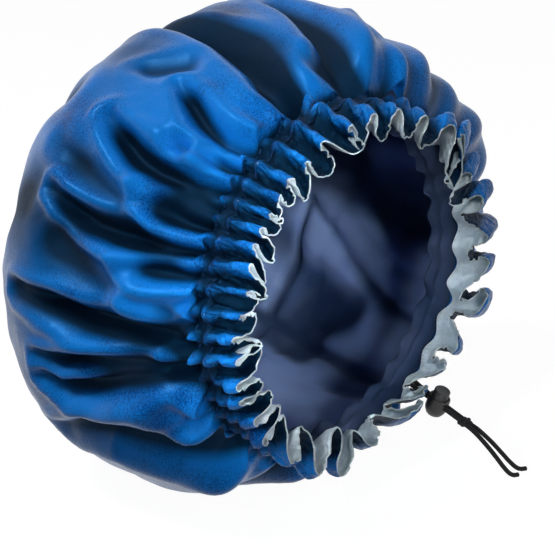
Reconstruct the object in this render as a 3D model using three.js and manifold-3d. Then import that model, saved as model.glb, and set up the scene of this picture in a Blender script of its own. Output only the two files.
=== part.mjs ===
// A satin hair bonnet that lies on its side on a table: a puffed double crown, a casing with an elastic
// drawcord in it, a pleated frill in two colours, and the cord's two ends with their lock and knot.
// Lengths are in millimetres and +Z is up. The origin is on the table under the crown's widest ring. The
// crown's axis is level along Y, with the frill at -Y and the closed end at +Y.

import * as THREE from "three";
import { mergeVertices } from "three/addons/utils/BufferGeometryUtils.js";
import Module from "manifold-3d";

// Crown
const crownRadius = 151;
const crownFront = 104; // from the casing's middle back to the widest ring
const crownBack = 108; // from the widest ring back to the closed end
const axisHeight = 150; // of the casing's centre over the table
const crownDrop = 5; // of the widest ring's centre below the casing's
const crownSag = 12; // of the closed end's centre below the widest ring's
const foldDepth = 25; // of the deepest fold
const foldHalfWidth = 11; // of the widest fold, where it meets the casing
const lobeSwell = 28; // outwards, of the fullest lobe
const lobeLean = 15; // towards the frill, of the fullest lobe
const frontBulge = 6; // towards the frill, of the cloth just behind the casing
const frontTuck = 8; // inwards, of the front's underside
const tuckDegrees = [268, 14]; // its middle and its half width
const frontSquareness = 2.7;
const backSquareness = 2.0;
const frontRowShares = [0, 0.1, 0.25, 0.45, 0.65, 0.83];
const backRowShares = [0, 0.18, 0.36, 0.54, 0.72, 0.88];
const foldRowShares = [0, 0.45, 1, 1, 1, 1, 1, 1, 1, 1, 1, 0.5];
const swellRowShares = [0, 0.15, 0.5, 0.94, 1, 1, 1, 0.86, 0.53, 0.16, 0, 0];
const leanRowShares = [0, 0.05, 0.5, 0.94, 0.93, 0.5, 0, 0, 0, 0, 0, 0];
const tuckRowShares = [0, 1, 1, 1, 0.5, 0, 0, 0, 0, 0, 0, 0];
const bulgeRowShares = [0, 0.1, 0.6, 0.32, 0, 0, 0, 0, 0, 0, 0, 0];
const columnCount = 84;
const liningColumnStep = 2;
const liningReach = [-2, -1, 0, 1, 2]; // columns that the lining keeps inside of
const swellDegrees = [
  8, 20, 33, 50, 69, 80, 90, 102, 111, 131, 150, 166, 180, 192, 210, 235, 270, 303, 329, 350,
];
const swellTurnShares = [
  0.61, 0.86, 1, 0.54, 0.43, 0.14, -0.11, -0.25, -0.11, -0.14,
  -0.18, -0.29, -0.18, -0.11, 0.04, 0.07, 0.04, 0.04, 0.14, 0.39,
];

// The crown's main folds: depth and half width as shares of the greatest, and the route as degrees round
// the axis and the place along it, counted from the widest ring
const foldStartShare = 0.55; // of a fold's depth, at its far end
const foldTipShare = 0.6; // of its width, there
const foldSteps = 4; // straight lengths between two points of a route
const crownFolds = [
  { depthShare: 1, widthShare: 1, route: [[96, 40], [95, -4], [96, -36], [99, -62], [102, -84], [104, -98]] },
  { depthShare: 0.6, widthShare: 1.2, route: [[104, -86], [105, -98]] },
  { depthShare: 0.53, widthShare: 0.9, route: [[87, -84], [87, -98]] },
  { depthShare: 0.53, widthShare: 0.6, route: [[118, -42], [120, -53], [124, -69], [127, -85], [126, -98]] },
  { depthShare: 0.73, widthShare: 0.67, route: [[132, -14], [135, -26], [138, -41], [140, -59], [140, -98]] },
  { depthShare: 0.87, widthShare: 0.9, route: [[147, -62], [149, -78], [150, -98]] },
  { depthShare: 0.73, widthShare: 0.6, route: [[152, 6], [155, -8], [157, -24], [158, -48], [159, -92], [161, -98]] },
  { depthShare: 0.6, widthShare: 0.67, route: [[165, -60], [165, -81], [167, -98]] },
  { depthShare: 0.6, widthShare: 0.67, route: [[174, -70], [176, -92], [178, -98]] },
  { depthShare: 1, widthShare: 0.8, route: [[179, 26], [180, -10], [182, -33], [182, -59], [183, -83], [187, -98]] },
  { depthShare: 0.73, widthShare: 0.55, route: [[194, 6], [194, -12], [192, -40], [190, -70], [192, -87], [199, -98]] },
  { depthShare: 0.73, widthShare: 0.67, route: [[199, 4], [201, -15], [200, -33], [197, -51], [195, -80], [196, -98]] },
  { depthShare: 0.93, widthShare: 1.1, route: [[218, 10], [213, -30], [215, -64], [222, -90], [228, -98]] },
  { depthShare: 0.87, widthShare: 1, route: [[248, 10], [247, -40], [249, -80], [252, -98]] },
  { depthShare: 0.87, widthShare: 1, route: [[291, 5], [290, -40], [291, -80], [292, -98]] },
  { depthShare: 0.87, widthShare: 1, route: [[318, 15], [317, -40], [316, -80], [313, -98]] },
  { depthShare: 0.87, widthShare: 1, route: [[343, 20], [342, -40], [342, -98]] },
  { depthShare: 0.87, widthShare: 1, route: [[8, 30], [8, -40], [7, -98]] },
  { depthShare: 0.87, widthShare: 1, route: [[30, 25], [33, -40], [33, -98]] },
  { depthShare: 0.73, widthShare: 0.8, route: [[40, -30], [44, -80], [47, -98]] },
  { depthShare: 0.8, widthShare: 0.8, route: [[50, 10], [56, -60], [60, -98]] },
  { depthShare: 0.6, widthShare: 0.67, route: [[62, -50], [64, -80], [67, -98]] },
  { depthShare: 0.87, widthShare: 0.8, route: [[70, 20], [75, -40], [80, -85], [78, -98]] },
];

// Cloth
const clothThickness = 0.7;
const liningThickness = 0.7;
const clothGap = 0.6;
const liningEase = 1.5; // more room for the lining where the crown is folded
const liningHold = 4; // how much less than the crown it bulges towards the frill
const seatGap = 0.3; // between pieces that touch

// Casing
const casingRadius = 104;
const casingWidth = 11;
const channelHalf = 2.5; // from the drawcord's centre line to either wall
const stitchRadius = 0.4;
const stitchInset = 1; // from the casing's edge to the thread's centre

// Frill
const frillLength = 26; // from the casing's middle to the edge
const frillLean = 6; // inwards, of the edge's middle line
const pleatGap = 0.4; // between the two cloths at the edge
const pleatBendDegrees = 104; // the steepest heading of the cloth's edge
const pleatStartDegrees = [
  0, 12, 23, 36, 47, 58, 68, 77, 87, 97, 106, 115, 123, 130, 137, 145, 152, 159,
  166, 174, 181, 188, 196, 203, 211, 219, 230, 243, 258, 271, 286, 298, 310, 322, 335, 347,
];
const pleatSteps = 8;
const pleatSubsteps = 8;
const rootFullnessShare = 0.14; // of the pleats' depth, left where the frill meets the casing
const mitreLimit = 1.5;
const hemRadius = 1.3;

// Drawcord
const cordRadius = 1.5;
const cordSides = 8;
const cordStep = 3.6;
const ringStep = 9;
const pairGap = 0.4; // between the two strands
const exitDegrees = -50.7; // of the exit round the axis, from +X
const exitTurn = [[9, -0.4], [7, -0.2], [5, 0.4], [3.3, 1.7], [2.2, 3.8], [1.8, 6.2]];
const pairRoute = [
  [70.9, -104, 63.3],
  [74.7, -104.6, 58.7],
  [77.5, -106.6, 55.1],
  [79.4, -110.2, 52.4],
  [80, -114.6, 50.5],
  [80.7, -122.3, 47.5],
  [81.6, -132, 43.8],
  [82.2, -138.3, 41.4],
];
const lockPlace = 5; // in pairRoute, counted from 0
const pairTurnShares = [0, 0.15, 0.45, 0.8, 1, 1, 1, 1];
const tailRouteA = [
  [85, -147.7, 37.6],
  [86.2, -151, 35.7],
  [89.2, -154.3, 31.6],
  [94.4, -157.5, 25],
  [100.3, -160, 17.4],
  [106.3, -162.2, 9.8],
  [111.2, -163.8, 4.6],
  [115, -165, 2.3],
  [119, -166.3, 1.7],
];
const tailRouteB = [
  [81.2, -148, 37.6],
  [81.6, -151.6, 35.8],
  [83.8, -155.5, 31.4],
  [87.8, -159.3, 24.6],
  [92.6, -162.2, 17],
  [97.4, -164.4, 9.6],
  [101.4, -165.9, 4.6],
  [104.6, -167, 2.3],
  [108.2, -168.2, 1.7],
];
const knotRadius = 4.9;
const knotLength = 9.4;
const knotSides = 14;
const knotRadiusShares = [0, 0.62, 0.84, 1, 0.86, 0.99, 0.85, 0.95, 0.66, 0];
const knotPlaceShares = [-0.5, -0.5, -0.42, -0.26, -0.12, 0.02, 0.15, 0.29, 0.5, 0.5];

// Buttonhole
const buttonholeClearance = 0.5;
const buttonholeReach = 4.3; // from the exit's middle to the centre of each end of the hole
const buttonholeThread = 0.5;
const buttonholeSteps = 28;
const threadSides = 6;

// Cord lock
const barrelRadius = 7.25;
const barrelFootRadius = 5.6;
const barrelBelow = 9; // from the cord's centre line to the foot
const barrelAbove = 4.5; // from the cord's centre line to the rim
const barrelFloor = 1.5;
const barrelTaper = 3;
const rimRounding = 0.7;
const plungerRadius = 5.3;
const plungerStand = 5.5; // of its top over the barrel's rim
const plungerWeb = 1.4; // below its cross hole
const plungerTravel = 2.6;
const runningClearance = 0.3;
const lockSides = 28;
const holeSteps = 5;
const cutOverrun = 2;
const springRadius = 3;
const springWire = 0.3; // radius
const springTurns = 3;
const springSides = 5;
const springStepsPerTurn = 8;

const wasm = await Module();
wasm.setup();
const { Manifold, Mesh } = wasm;
const group = new THREE.Group();

// Materials
function finish(color, roughness) {
  return new THREE.MeshStandardMaterial({ color, roughness, metalness: 0, side: THREE.DoubleSide });
}
const satinBlue = finish(0x0b4a8f, 0.35);
const satinSlate = finish(0x2b3352, 0.4);
const satinPale = finish(0xa3bcc6, 0.35);
const threadPale = finish(0xb9c8d2, 0.6);
const threadBlue = finish(0x0a2f66, 0.7);
const elastic = finish(0x0b0b0d, 0.85);
const plastic = finish(0x17171a, 0.45);
const steel = new THREE.MeshStandardMaterial({ color: 0xb4b7ba, roughness: 0.3, metalness: 1 });

// Solids
function signedVolume(position, index) {
  const a = new THREE.Vector3();
  const b = new THREE.Vector3();
  const c = new THREE.Vector3();
  let sum = 0;
  for (let i = 0; i < index.length; i += 3) {
    a.fromBufferAttribute(position, index[i]);
    b.fromBufferAttribute(position, index[i + 1]);
    c.fromBufferAttribute(position, index[i + 2]);
    sum += a.dot(b.cross(c));
  }
  return sum;
}

// A geometry with its shared vertices merged, no collapsed triangles, and its faces pointing out
function closed(geometry) {
  geometry.deleteAttribute("normal");
  geometry.deleteAttribute("uv");
  const merged = mergeVertices(geometry);
  const kept = [];
  const source = merged.index.array;
  for (let i = 0; i < source.length; i += 3) {
    const [a, b, c] = [source[i], source[i + 1], source[i + 2]];
    if (a !== b && b !== c && c !== a) {
      kept.push(a, b, c);
    }
  }
  if (signedVolume(merged.attributes.position, kept) < 0) {
    kept.reverse();
  }
  merged.setIndex(kept);
  merged.clearGroups();
  merged.computeVertexNormals();
  return merged;
}

function addPiece(parent, name, geometry, material) {
  const mesh = new THREE.Mesh(closed(geometry), material);
  mesh.name = name;
  parent.add(mesh);
  return mesh;
}

function toManifold(geometry) {
  const ready = closed(geometry);
  return new Manifold(new Mesh({
    numProp: 3,
    vertProperties: ready.attributes.position.array,
    triVerts: Uint32Array.from(ready.index.array),
  }));
}

function fromManifold(solid) {
  const mesh = solid.getMesh();
  const geometry = new THREE.BufferGeometry();
  geometry.setAttribute("position", new THREE.BufferAttribute(mesh.vertProperties, 3));
  geometry.setIndex(Array.from(mesh.triVerts));
  return geometry;
}

function cut(geometry, tools) {
  const whole = tools.reduce((left, tool) => left.subtract(toManifold(tool)), toManifold(geometry));
  return fromManifold(whole);
}

// A skin over columns of points, one column for each place round the object. A column that closes on
// itself gives a ring, and one that runs from pole to pole gives a ball. The first half of a column is a
// cloth's inner face and the second its outer face, both split along the same diagonals.
function skin(columns, closesOnItself) {
  const corners = [];
  const rows = columns[0].length;
  columns.forEach((column, i) => {
    const next = columns[(i + 1) % columns.length];
    for (let j = 0; j < (closesOnItself ? rows : rows - 1); j += 1) {
      const k = (j + 1) % rows;
      if (j < rows / 2 - 1) {
        corners.push(column[j], next[j], column[k], next[j], next[k], column[k]);
      } else {
        corners.push(column[j], next[j], next[k], column[j], next[k], column[k]);
      }
    }
  });
  return new THREE.BufferGeometry().setFromPoints(corners);
}

// A cord or wire along a curve, with flat ends
function tube(curve, radius, sides, step) {
  const outline = [];
  for (let i = 0; i < sides; i += 1) {
    const angle = (i / sides) * Math.PI * 2;
    outline.push(new THREE.Vector2(Math.cos(angle) * radius, Math.sin(angle) * radius));
  }
  const steps = Math.max(2, Math.round(curve.getLength() / step));
  const settings = { steps, extrudePath: curve, bevelEnabled: false };
  return new THREE.ExtrudeGeometry(new THREE.Shape(outline), settings);
}

// A hole with rounded corners, which runs through along Y, between two heights
function slot(width, low, high, corner, length) {
  const reach = width / 2 - corner;
  const shape = new THREE.Shape();
  shape.absarc(reach, low + corner, corner, -Math.PI / 2, 0, false);
  shape.absarc(reach, high - corner, corner, 0, Math.PI / 2, false);
  shape.absarc(-reach, high - corner, corner, Math.PI / 2, Math.PI, false);
  shape.absarc(-reach, low + corner, corner, Math.PI, (3 * Math.PI) / 2, false);
  const settings = { depth: length, bevelEnabled: false, curveSegments: holeSteps };
  const geometry = new THREE.ExtrudeGeometry(shape, settings);
  geometry.translate(0, 0, -length / 2);
  geometry.rotateX(Math.PI / 2);
  return geometry;
}

function turned(profile, sides) {
  const geometry = new THREE.LatheGeometry(profile.map(([r, z]) => new THREE.Vector2(r, z)), sides);
  geometry.rotateX(Math.PI / 2);
  return geometry;
}

// A point round the casing's axis
function ringPoint(radius, angle, y) {
  return new THREE.Vector3(radius * Math.cos(angle), y, axisHeight + radius * Math.sin(angle));
}

const columns = Array.from({ length: columnCount }, (_, i) => ({ angle: (i / columnCount) * Math.PI * 2 }));
const crownStart = crownFront - casingWidth / 2; // from the widest ring forward to the casing's edge
const outerWallFace = casingRadius + channelHalf + clothThickness;
const liningInset = clothThickness + clothGap;
const { smoothstep } = THREE.MathUtils;

// The crown's smooth form in front of and behind its widest ring, by share of a quarter turn
function frontRow(share, rootRadius, inset) {
  const turn = (share * Math.PI) / 2;
  const rise = Math.sin(turn) ** (2 / frontSquareness);
  return {
    y: -(crownStart - inset) * Math.cos(turn) ** (2 / frontSquareness),
    radius: rootRadius + (crownRadius - inset - rootRadius) * rise,
    drop: crownDrop * rise,
  };
}

function backRow(share, inset) {
  const turn = (share * Math.PI) / 2;
  const along = Math.sin(turn) ** (2 / backSquareness);
  return {
    y: (crownBack - inset) * along,
    radius: (crownRadius - inset) * Math.cos(turn) ** (2 / backSquareness),
    drop: crownDrop + crownSag * along * along,
  };
}

// The crown's rings from the casing to the closed end
function crownRows(rootRadius, inset) {
  return [
    ...frontRowShares.map((share) => frontRow(share, rootRadius, inset)),
    ...backRowShares.map((share) => backRow(share, inset)),
  ];
}

// The point of the smooth form at a place of a fold's route
function routePoint([degrees, y]) {
  const quarter = Math.PI / 2;
  const share = y < 0
    ? Math.acos(Math.min(1, -y / crownStart) ** (frontSquareness / 2)) / quarter
    : Math.asin((y / crownBack) ** (backSquareness / 2)) / quarter;
  const row = y < 0 ? frontRow(share, outerWallFace, 0) : backRow(share, 0);
  return ringPoint(row.radius, THREE.MathUtils.degToRad(degrees), row.y);
}

function routeLine(route) {
  const line = [];
  for (let i = 0; i < route.length - 1; i += 1) {
    for (let k = 0; k < foldSteps; k += 1) {
      const share = k / foldSteps;
      line.push(routePoint(route[i].map((value, n) => value + (route[i + 1][n] - value) * share)));
    }
  }
  line.push(routePoint(route[route.length - 1]));
  return line;
}

const foldLines = crownFolds.map((fold) => routeLine(fold.route));

// How deep one fold is at a point of the smooth form
function foldAt(fold, line, point) {
  const nearest = new THREE.Vector3();
  let best = Infinity;
  let place = 0;
  for (let i = 0; i < line.length - 1; i += 1) {
    const part = new THREE.Line3(line[i], line[i + 1]);
    const share = part.closestPointToPointParameter(point, true);
    part.at(share, nearest);
    const distance = nearest.distanceTo(point);
    if (distance < best) {
      best = distance;
      place = (i + share) / (line.length - 1);
    }
  }
  const width = foldHalfWidth * fold.widthShare
    * (foldTipShare + (1 - foldTipShare) * smoothstep(place, 0, 1 / 2));
  const depth = foldDepth * fold.depthShare
    * (foldStartShare + (1 - foldStartShare) * smoothstep(place, 0, 1 / 4));
  return depth * Math.exp(-((best / width) ** 2));
}

function swellAt(angle) {
  const degrees = THREE.MathUtils.radToDeg(angle);
  const last = swellDegrees.length - 1;
  const after = swellDegrees.findIndex((place) => place > degrees);
  const high = after < 0 ? 0 : after;
  const low = high === 0 ? last : high - 1;
  const span = (swellDegrees[high] - swellDegrees[low] + 360) % 360;
  const share = ((degrees - swellDegrees[low] + 360) % 360) / span;
  return swellTurnShares[low] + (swellTurnShares[high] - swellTurnShares[low]) * share;
}

// How far the swells, folds and tucks move each point of a column: outwards and towards the frill
function columnShifts(angle) {
  const swell = swellAt(angle);
  const [tuckMiddle, tuckWidth] = tuckDegrees;
  const tuck = frontTuck * Math.exp(-(((THREE.MathUtils.radToDeg(angle) - tuckMiddle) / tuckWidth) ** 2));
  return crownRows(outerWallFace, 0).map((row, j) => {
    const point = ringPoint(row.radius, angle, row.y);
    const depths = crownFolds.map((fold, k) => foldAt(fold, foldLines[k], point));
    return {
      out: lobeSwell * swell * swellRowShares[j] - Math.max(...depths) * foldRowShares[j]
        - tuck * tuckRowShares[j],
      forward: lobeLean * Math.max(0, swell) * leanRowShares[j] + frontBulge * bulgeRowShares[j],
    };
  });
}

const outerShifts = columns.map((column) => columnShifts(column.angle));

// The lining keeps inside the least of what the crown does at a column and its neighbours
const liningShifts = outerShifts.map((own, i) => own.map((shift, j) => {
  const near = liningReach.map((step) => outerShifts[(i + columnCount + step) % columnCount][j]);
  return {
    out: Math.min(...near.map((each) => each.out)) - liningEase * foldRowShares[j],
    forward: Math.max(0, Math.min(...near.map((each) => each.forward)) - liningHold),
  };
}));

function crownPoint(angle, row, shift, inset) {
  const point = ringPoint(row.radius + shift.out, angle, row.y - shift.forward);
  point.z = Math.max(inset, point.z - row.drop);
  return point;
}

// The column of points over one layer's face, from the casing's front edge to the closed end
function layerFace(angle, shifts, wallRadius, inset) {
  const rows = crownRows(wallRadius, inset);
  const wallStart = ringPoint(wallRadius, angle, -crownFront - casingWidth / 2);
  const face = rows.map((row, j) => crownPoint(angle, row, shifts[j], inset));
  const pole = new THREE.Vector3(0, crownBack - inset, axisHeight - crownDrop - crownSag);
  return [wallStart, ...face, pole];
}

function layerGeometry(outerWall, innerWall, outerInset, innerInset, shifts, step) {
  const picked = columns.map((column, i) => [column.angle, shifts[i]]).filter((pair, i) => i % step === 0);
  return skin(picked.map(([angle, shift]) => [
    ...layerFace(angle, shift, innerWall, innerInset).reverse(),
    ...layerFace(angle, shift, outerWall, outerInset),
  ]), false);
}

function outerShell() {
  const shell = layerGeometry(
    outerWallFace, casingRadius + channelHalf, 0, clothThickness, outerShifts, 1,
  );
  const hole = new THREE.BoxGeometry(
    2 * (buttonholeReach + cordRadius),
    2 * (cordRadius + buttonholeClearance),
    2 * (channelHalf + clothThickness),
  );
  hole.rotateX(Math.PI / 2);
  hole.rotateY(Math.PI / 2 - exitAngle);
  hole.translate(...ringPoint(casingRadius + channelHalf, exitAngle, -crownFront).toArray());
  addPiece(group, "outer_shell", cut(shell, [hole]), satinBlue);
}

function crownLining() {
  const lining = layerGeometry(
    casingRadius - channelHalf,
    casingRadius - channelHalf - liningThickness,
    liningInset,
    liningInset + liningThickness,
    liningShifts,
    liningColumnStep,
  );
  addPiece(group, "crown_lining", lining, satinSlate);
}

// Frill: the cloth's edge is a meander whose heading swings like a sine along its length
function pleatShape() {
  const substeps = pleatSteps * pleatSubsteps;
  const bend = THREE.MathUtils.degToRad(pleatBendDegrees);
  const shape = [];
  let along = 0;
  let out = 0;
  for (let i = 0; i < substeps; i += 1) {
    if (i % pleatSubsteps === 0) {
      shape.push([along, out]);
    }
    const heading = bend * Math.cos(((i + 1 / 2) / substeps) * Math.PI * 2);
    along += Math.cos(heading);
    out += Math.sin(heading);
  }
  return shape.map(([a, o]) => [a / along, o / along]);
}

// The middle line between the two cloths, at one place along the frill
function pleatLine(fullness, y) {
  const shape = pleatShape();
  const line = [];
  pleatStartDegrees.forEach((startDegrees, k) => {
    const endDegrees = k + 1 < pleatStartDegrees.length ? pleatStartDegrees[k + 1] : 360;
    const start = THREE.MathUtils.degToRad(startDegrees);
    const reach = THREE.MathUtils.degToRad(endDegrees - startDegrees);
    shape.forEach(([along, out], i) => {
      const even = i / pleatSteps;
      const angle = start + reach * (even + (along - even) * fullness);
      const lean = frillLean * (fullness - rootFullnessShare);
      line.push(ringPoint(casingRadius - lean + out * reach * casingRadius * fullness, angle, y));
    });
  });
  return line;
}

// The outward direction at each point of a closed line, lengthened at corners to keep an even distance
function outwards(line) {
  return line.map((point, i) => {
    const before = line[(i + line.length - 1) % line.length];
    const after = line[(i + 1) % line.length];
    const into = point.clone().sub(before).normalize();
    const away = after.clone().sub(point).normalize();
    const middle = into.clone().add(away).normalize();
    const lengthen = Math.min(mitreLimit, 1 / middle.dot(away));
    return new THREE.Vector3(middle.z, 0, -middle.x).multiplyScalar(lengthen);
  });
}

const frillRootY = -crownFront - casingWidth / 2 - seatGap;
const frillEdgeY = -crownFront - frillLength;
const rootLine = pleatLine(rootFullnessShare, frillRootY);
const edgeLine = pleatLine(1, frillEdgeY);
const rootOut = outwards(rootLine);
const edgeOut = outwards(edgeLine);

function frillCloth(rootNear, rootFar, edgeNear, edgeFar) {
  return skin(rootLine.map((root, i) => {
    const edge = edgeLine[i];
    return [
      root.clone().addScaledVector(rootOut[i], rootNear),
      edge.clone().addScaledVector(edgeOut[i], edgeNear),
      edge.clone().addScaledVector(edgeOut[i], edgeFar),
      root.clone().addScaledVector(rootOut[i], rootFar),
    ];
  }), true);
}

function frill() {
  const rootFar = channelHalf + clothThickness;
  const edgeNear = pleatGap / 2;
  const edgeFar = edgeNear + clothThickness;
  const outer = frillCloth(channelHalf, rootFar, edgeNear, edgeFar);
  const facing = frillCloth(-channelHalf, -rootFar, -edgeNear, -edgeFar);
  addPiece(group, "frill_outer", outer, satinBlue);
  addPiece(group, "frill_facing", facing, satinPale);
}

function frillHem() {
  const y = frillEdgeY - seatGap - hemRadius;
  const hem = skin(edgeLine.map((edge, i) => {
    const centre = new THREE.Vector3(edge.x, y, edge.z);
    const forward = new THREE.Vector3(0, hemRadius, 0);
    return [
      centre.clone().addScaledVector(edgeOut[i], hemRadius),
      centre.clone().add(forward),
      centre.clone().addScaledVector(edgeOut[i], -hemRadius),
      centre.clone().sub(forward),
    ];
  }), true);
  addPiece(group, "frill_hem", hem, threadPale);
}

// Casing: a row of stitching round each edge
function casingStitch(name, y) {
  const radius = outerWallFace + seatGap + stitchRadius;
  const ring = skin(columns.map((column) => {
    const centre = ringPoint(radius, column.angle, y);
    const out = ringPoint(stitchRadius, column.angle, 0).setY(0);
    out.z -= axisHeight;
    const across = new THREE.Vector3(0, stitchRadius, 0);
    return [
      centre.clone().add(out),
      centre.clone().add(across),
      centre.clone().sub(out),
      centre.clone().sub(across),
    ];
  }), true);
  addPiece(group, name, ring, threadBlue);
}

// Drawcord
const exitAngle = THREE.MathUtils.degToRad(exitDegrees);
const exitOut = new THREE.Vector3(Math.cos(exitAngle), 0, Math.sin(exitAngle));
const exitSide = new THREE.Vector3(-Math.sin(exitAngle), 0, Math.cos(exitAngle));
const pairPoints = pairRoute.map((point) => new THREE.Vector3(...point));
const lockCentre = pairPoints[lockPlace];
const strandEnd = pairPoints[pairPoints.length - 1];
const cordHeading = strandEnd.clone().sub(lockCentre).normalize();
const lockAxis = new THREE.Vector3(0, 0, 1).projectOnPlane(cordHeading).normalize();
const lockSide = new THREE.Vector3().crossVectors(lockAxis, cordHeading);
const pairHalf = cordRadius + pairGap / 2;
const knotCentre = strandEnd.clone().addScaledVector(cordHeading, seatGap + knotLength / 2);

// One strand: out of the casing, through the lock and up to the knot
function strandRoute(sign) {
  const start = ringPoint(casingRadius, exitAngle, -crownFront);
  const turn = exitTurn.map(([side, out]) => start.clone()
    .addScaledVector(exitSide, side * sign).addScaledVector(exitOut, out));
  const pair = pairPoints.map((point, i) => {
    const side = exitSide.clone().lerp(lockSide, pairTurnShares[i]).normalize();
    return point.clone().addScaledVector(side, pairHalf * sign);
  });
  return [...turn, ...pair];
}

function drawcordRing() {
  const spare = Math.asin((exitTurn[0][0] + seatGap) / casingRadius);
  const steps = Math.round((casingRadius * Math.PI * 2) / ringStep);
  const points = Array.from({ length: steps + 1 }, (unused, i) => {
    const angle = exitAngle + spare + (i / steps) * (Math.PI * 2 - 2 * spare);
    return ringPoint(casingRadius, angle, -crownFront);
  });
  const ring = tube(new THREE.CatmullRomCurve3(points), cordRadius, cordSides, ringStep);
  addPiece(group, "drawcord_ring", ring, elastic);
}

function freeCord(name, points) {
  const curve = new THREE.CatmullRomCurve3(points, false, "centripetal");
  addPiece(group, name, tube(curve, cordRadius, cordSides, cordStep), elastic);
}

function knot() {
  const profile = knotRadiusShares.map((share, i) => [share * knotRadius, knotPlaceShares[i] * knotLength]);
  const mesh = addPiece(group, "cord_knot", turned(profile, knotSides), elastic);
  mesh.position.copy(knotCentre);
  mesh.quaternion.setFromUnitVectors(new THREE.Vector3(0, 0, 1), cordHeading);
}

// The sewn edge of the hole that the cord comes out of
function buttonhole() {
  const radius = outerWallFace + seatGap + buttonholeThread;
  const start = ringPoint(radius, exitAngle, -crownFront);
  const halfHeight = cordRadius + buttonholeClearance + buttonholeThread;
  const halfLength = buttonholeReach + cordRadius + buttonholeThread;
  const along = new THREE.Vector3(0, 1, 0);
  const thread = Array.from({ length: buttonholeSteps }, (unused, i) => {
    const angle = (i / buttonholeSteps) * Math.PI * 2;
    const centre = start.clone()
      .addScaledVector(exitSide, halfLength * Math.cos(angle))
      .addScaledVector(along, halfHeight * Math.sin(angle));
    const away = exitSide.clone().multiplyScalar(halfHeight * Math.cos(angle))
      .addScaledVector(along, halfLength * Math.sin(angle)).normalize();
    return Array.from({ length: threadSides }, (none, j) => {
      const around = (j / threadSides) * Math.PI * 2;
      return centre.clone()
        .addScaledVector(away, buttonholeThread * Math.cos(around))
        .addScaledVector(exitOut, buttonholeThread * Math.sin(around));
    });
  });
  addPiece(group, "cord_buttonhole", skin(thread, true), threadBlue);
}

// Cord lock: in its own frame the cord runs along Y through the origin, and the plunger is pressed
// down along Z
const lock = new THREE.Group();
lock.position.copy(lockCentre);
lock.quaternion.setFromRotationMatrix(
  new THREE.Matrix4().makeBasis(lockSide, cordHeading.clone().negate(), lockAxis),
);
group.add(lock);

const holeWidth = 2 * (pairHalf + cordRadius + runningClearance);
const clampLevel = cordRadius + runningClearance; // of the edges that hold the cord
const plungerFoot = -clampLevel - plungerWeb;
const plungerTop = barrelAbove + plungerStand;
const floorLevel = -barrelBelow + barrelFloor;

function lockBarrel() {
  const bore = plungerRadius + runningClearance;
  const body = turned([
    [0, -barrelBelow],
    [barrelFootRadius, -barrelBelow],
    [(barrelFootRadius + barrelRadius) / 2, -barrelBelow + barrelTaper / 3],
    [barrelRadius, -barrelBelow + barrelTaper],
    [barrelRadius, barrelAbove - rimRounding],
    [barrelRadius - rimRounding, barrelAbove],
    [bore, barrelAbove],
    [bore, floorLevel],
    [0, floorLevel],
  ], lockSides);
  const through = 2 * (barrelRadius + cutOverrun);
  const hole = slot(holeWidth, -clampLevel, clampLevel, clampLevel, through);
  addPiece(lock, "lock_barrel", cut(body, [hole]), plastic);
}

function lockPlunger() {
  const body = turned([
    [0, plungerFoot],
    [plungerRadius - rimRounding, plungerFoot],
    [plungerRadius, plungerFoot + rimRounding],
    [plungerRadius, plungerTop - rimRounding],
    [plungerRadius - rimRounding, plungerTop],
    [0, plungerTop],
  ], lockSides);
  const through = 2 * (plungerRadius + cutOverrun);
  const hole = slot(holeWidth, -clampLevel, clampLevel + plungerTravel, clampLevel, through);
  addPiece(lock, "lock_plunger", cut(body, [hole]), plastic);
}

class Helix extends THREE.Curve {
  getPoint(share) {
    const angle = share * springTurns * Math.PI * 2;
    const low = floorLevel + seatGap + springWire;
    const high = plungerFoot - seatGap - springWire;
    const z = low + (high - low) * share;
    return new THREE.Vector3(springRadius * Math.cos(angle), springRadius * Math.sin(angle), z);
  }
}

function lockSpring() {
  const coil = new Helix();
  const step = coil.getLength() / (springTurns * springStepsPerTurn);
  addPiece(lock, "lock_spring", tube(coil, springWire, springSides, step), steel);
}

outerShell();
crownLining();
frill();
frillHem();
casingStitch("casing_stitch_rear", -crownFront + casingWidth / 2 - stitchInset);
casingStitch("casing_stitch_front", -crownFront - casingWidth / 2 + stitchInset);
buttonhole();
drawcordRing();
freeCord("cord_strand_a", strandRoute(1));
freeCord("cord_strand_b", strandRoute(-1));
knot();
freeCord("cord_tail_a", tailRouteA.map((point) => new THREE.Vector3(...point)));
freeCord("cord_tail_b", tailRouteB.map((point) => new THREE.Vector3(...point)));
lockBarrel();
lockPlunger();
lockSpring();

export default group;
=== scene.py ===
"""The looks of the satin hair bonnet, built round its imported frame. Lengths are in metres."""

import math

import bpy
import numpy as np
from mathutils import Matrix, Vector


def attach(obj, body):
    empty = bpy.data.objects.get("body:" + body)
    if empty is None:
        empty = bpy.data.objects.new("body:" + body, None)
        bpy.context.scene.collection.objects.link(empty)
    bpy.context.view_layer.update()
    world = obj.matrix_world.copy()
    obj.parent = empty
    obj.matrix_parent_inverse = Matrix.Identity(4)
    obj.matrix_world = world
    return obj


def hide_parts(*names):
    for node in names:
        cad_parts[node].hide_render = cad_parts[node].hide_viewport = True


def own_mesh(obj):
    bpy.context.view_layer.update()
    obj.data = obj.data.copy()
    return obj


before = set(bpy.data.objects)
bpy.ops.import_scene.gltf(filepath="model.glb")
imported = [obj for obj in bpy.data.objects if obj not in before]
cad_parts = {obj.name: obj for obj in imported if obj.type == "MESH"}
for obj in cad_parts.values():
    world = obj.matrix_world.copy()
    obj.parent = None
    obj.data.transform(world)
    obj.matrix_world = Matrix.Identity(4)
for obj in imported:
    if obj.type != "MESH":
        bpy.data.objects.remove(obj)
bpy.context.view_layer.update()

MM = 0.001
TURN = 2 * math.pi

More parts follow.
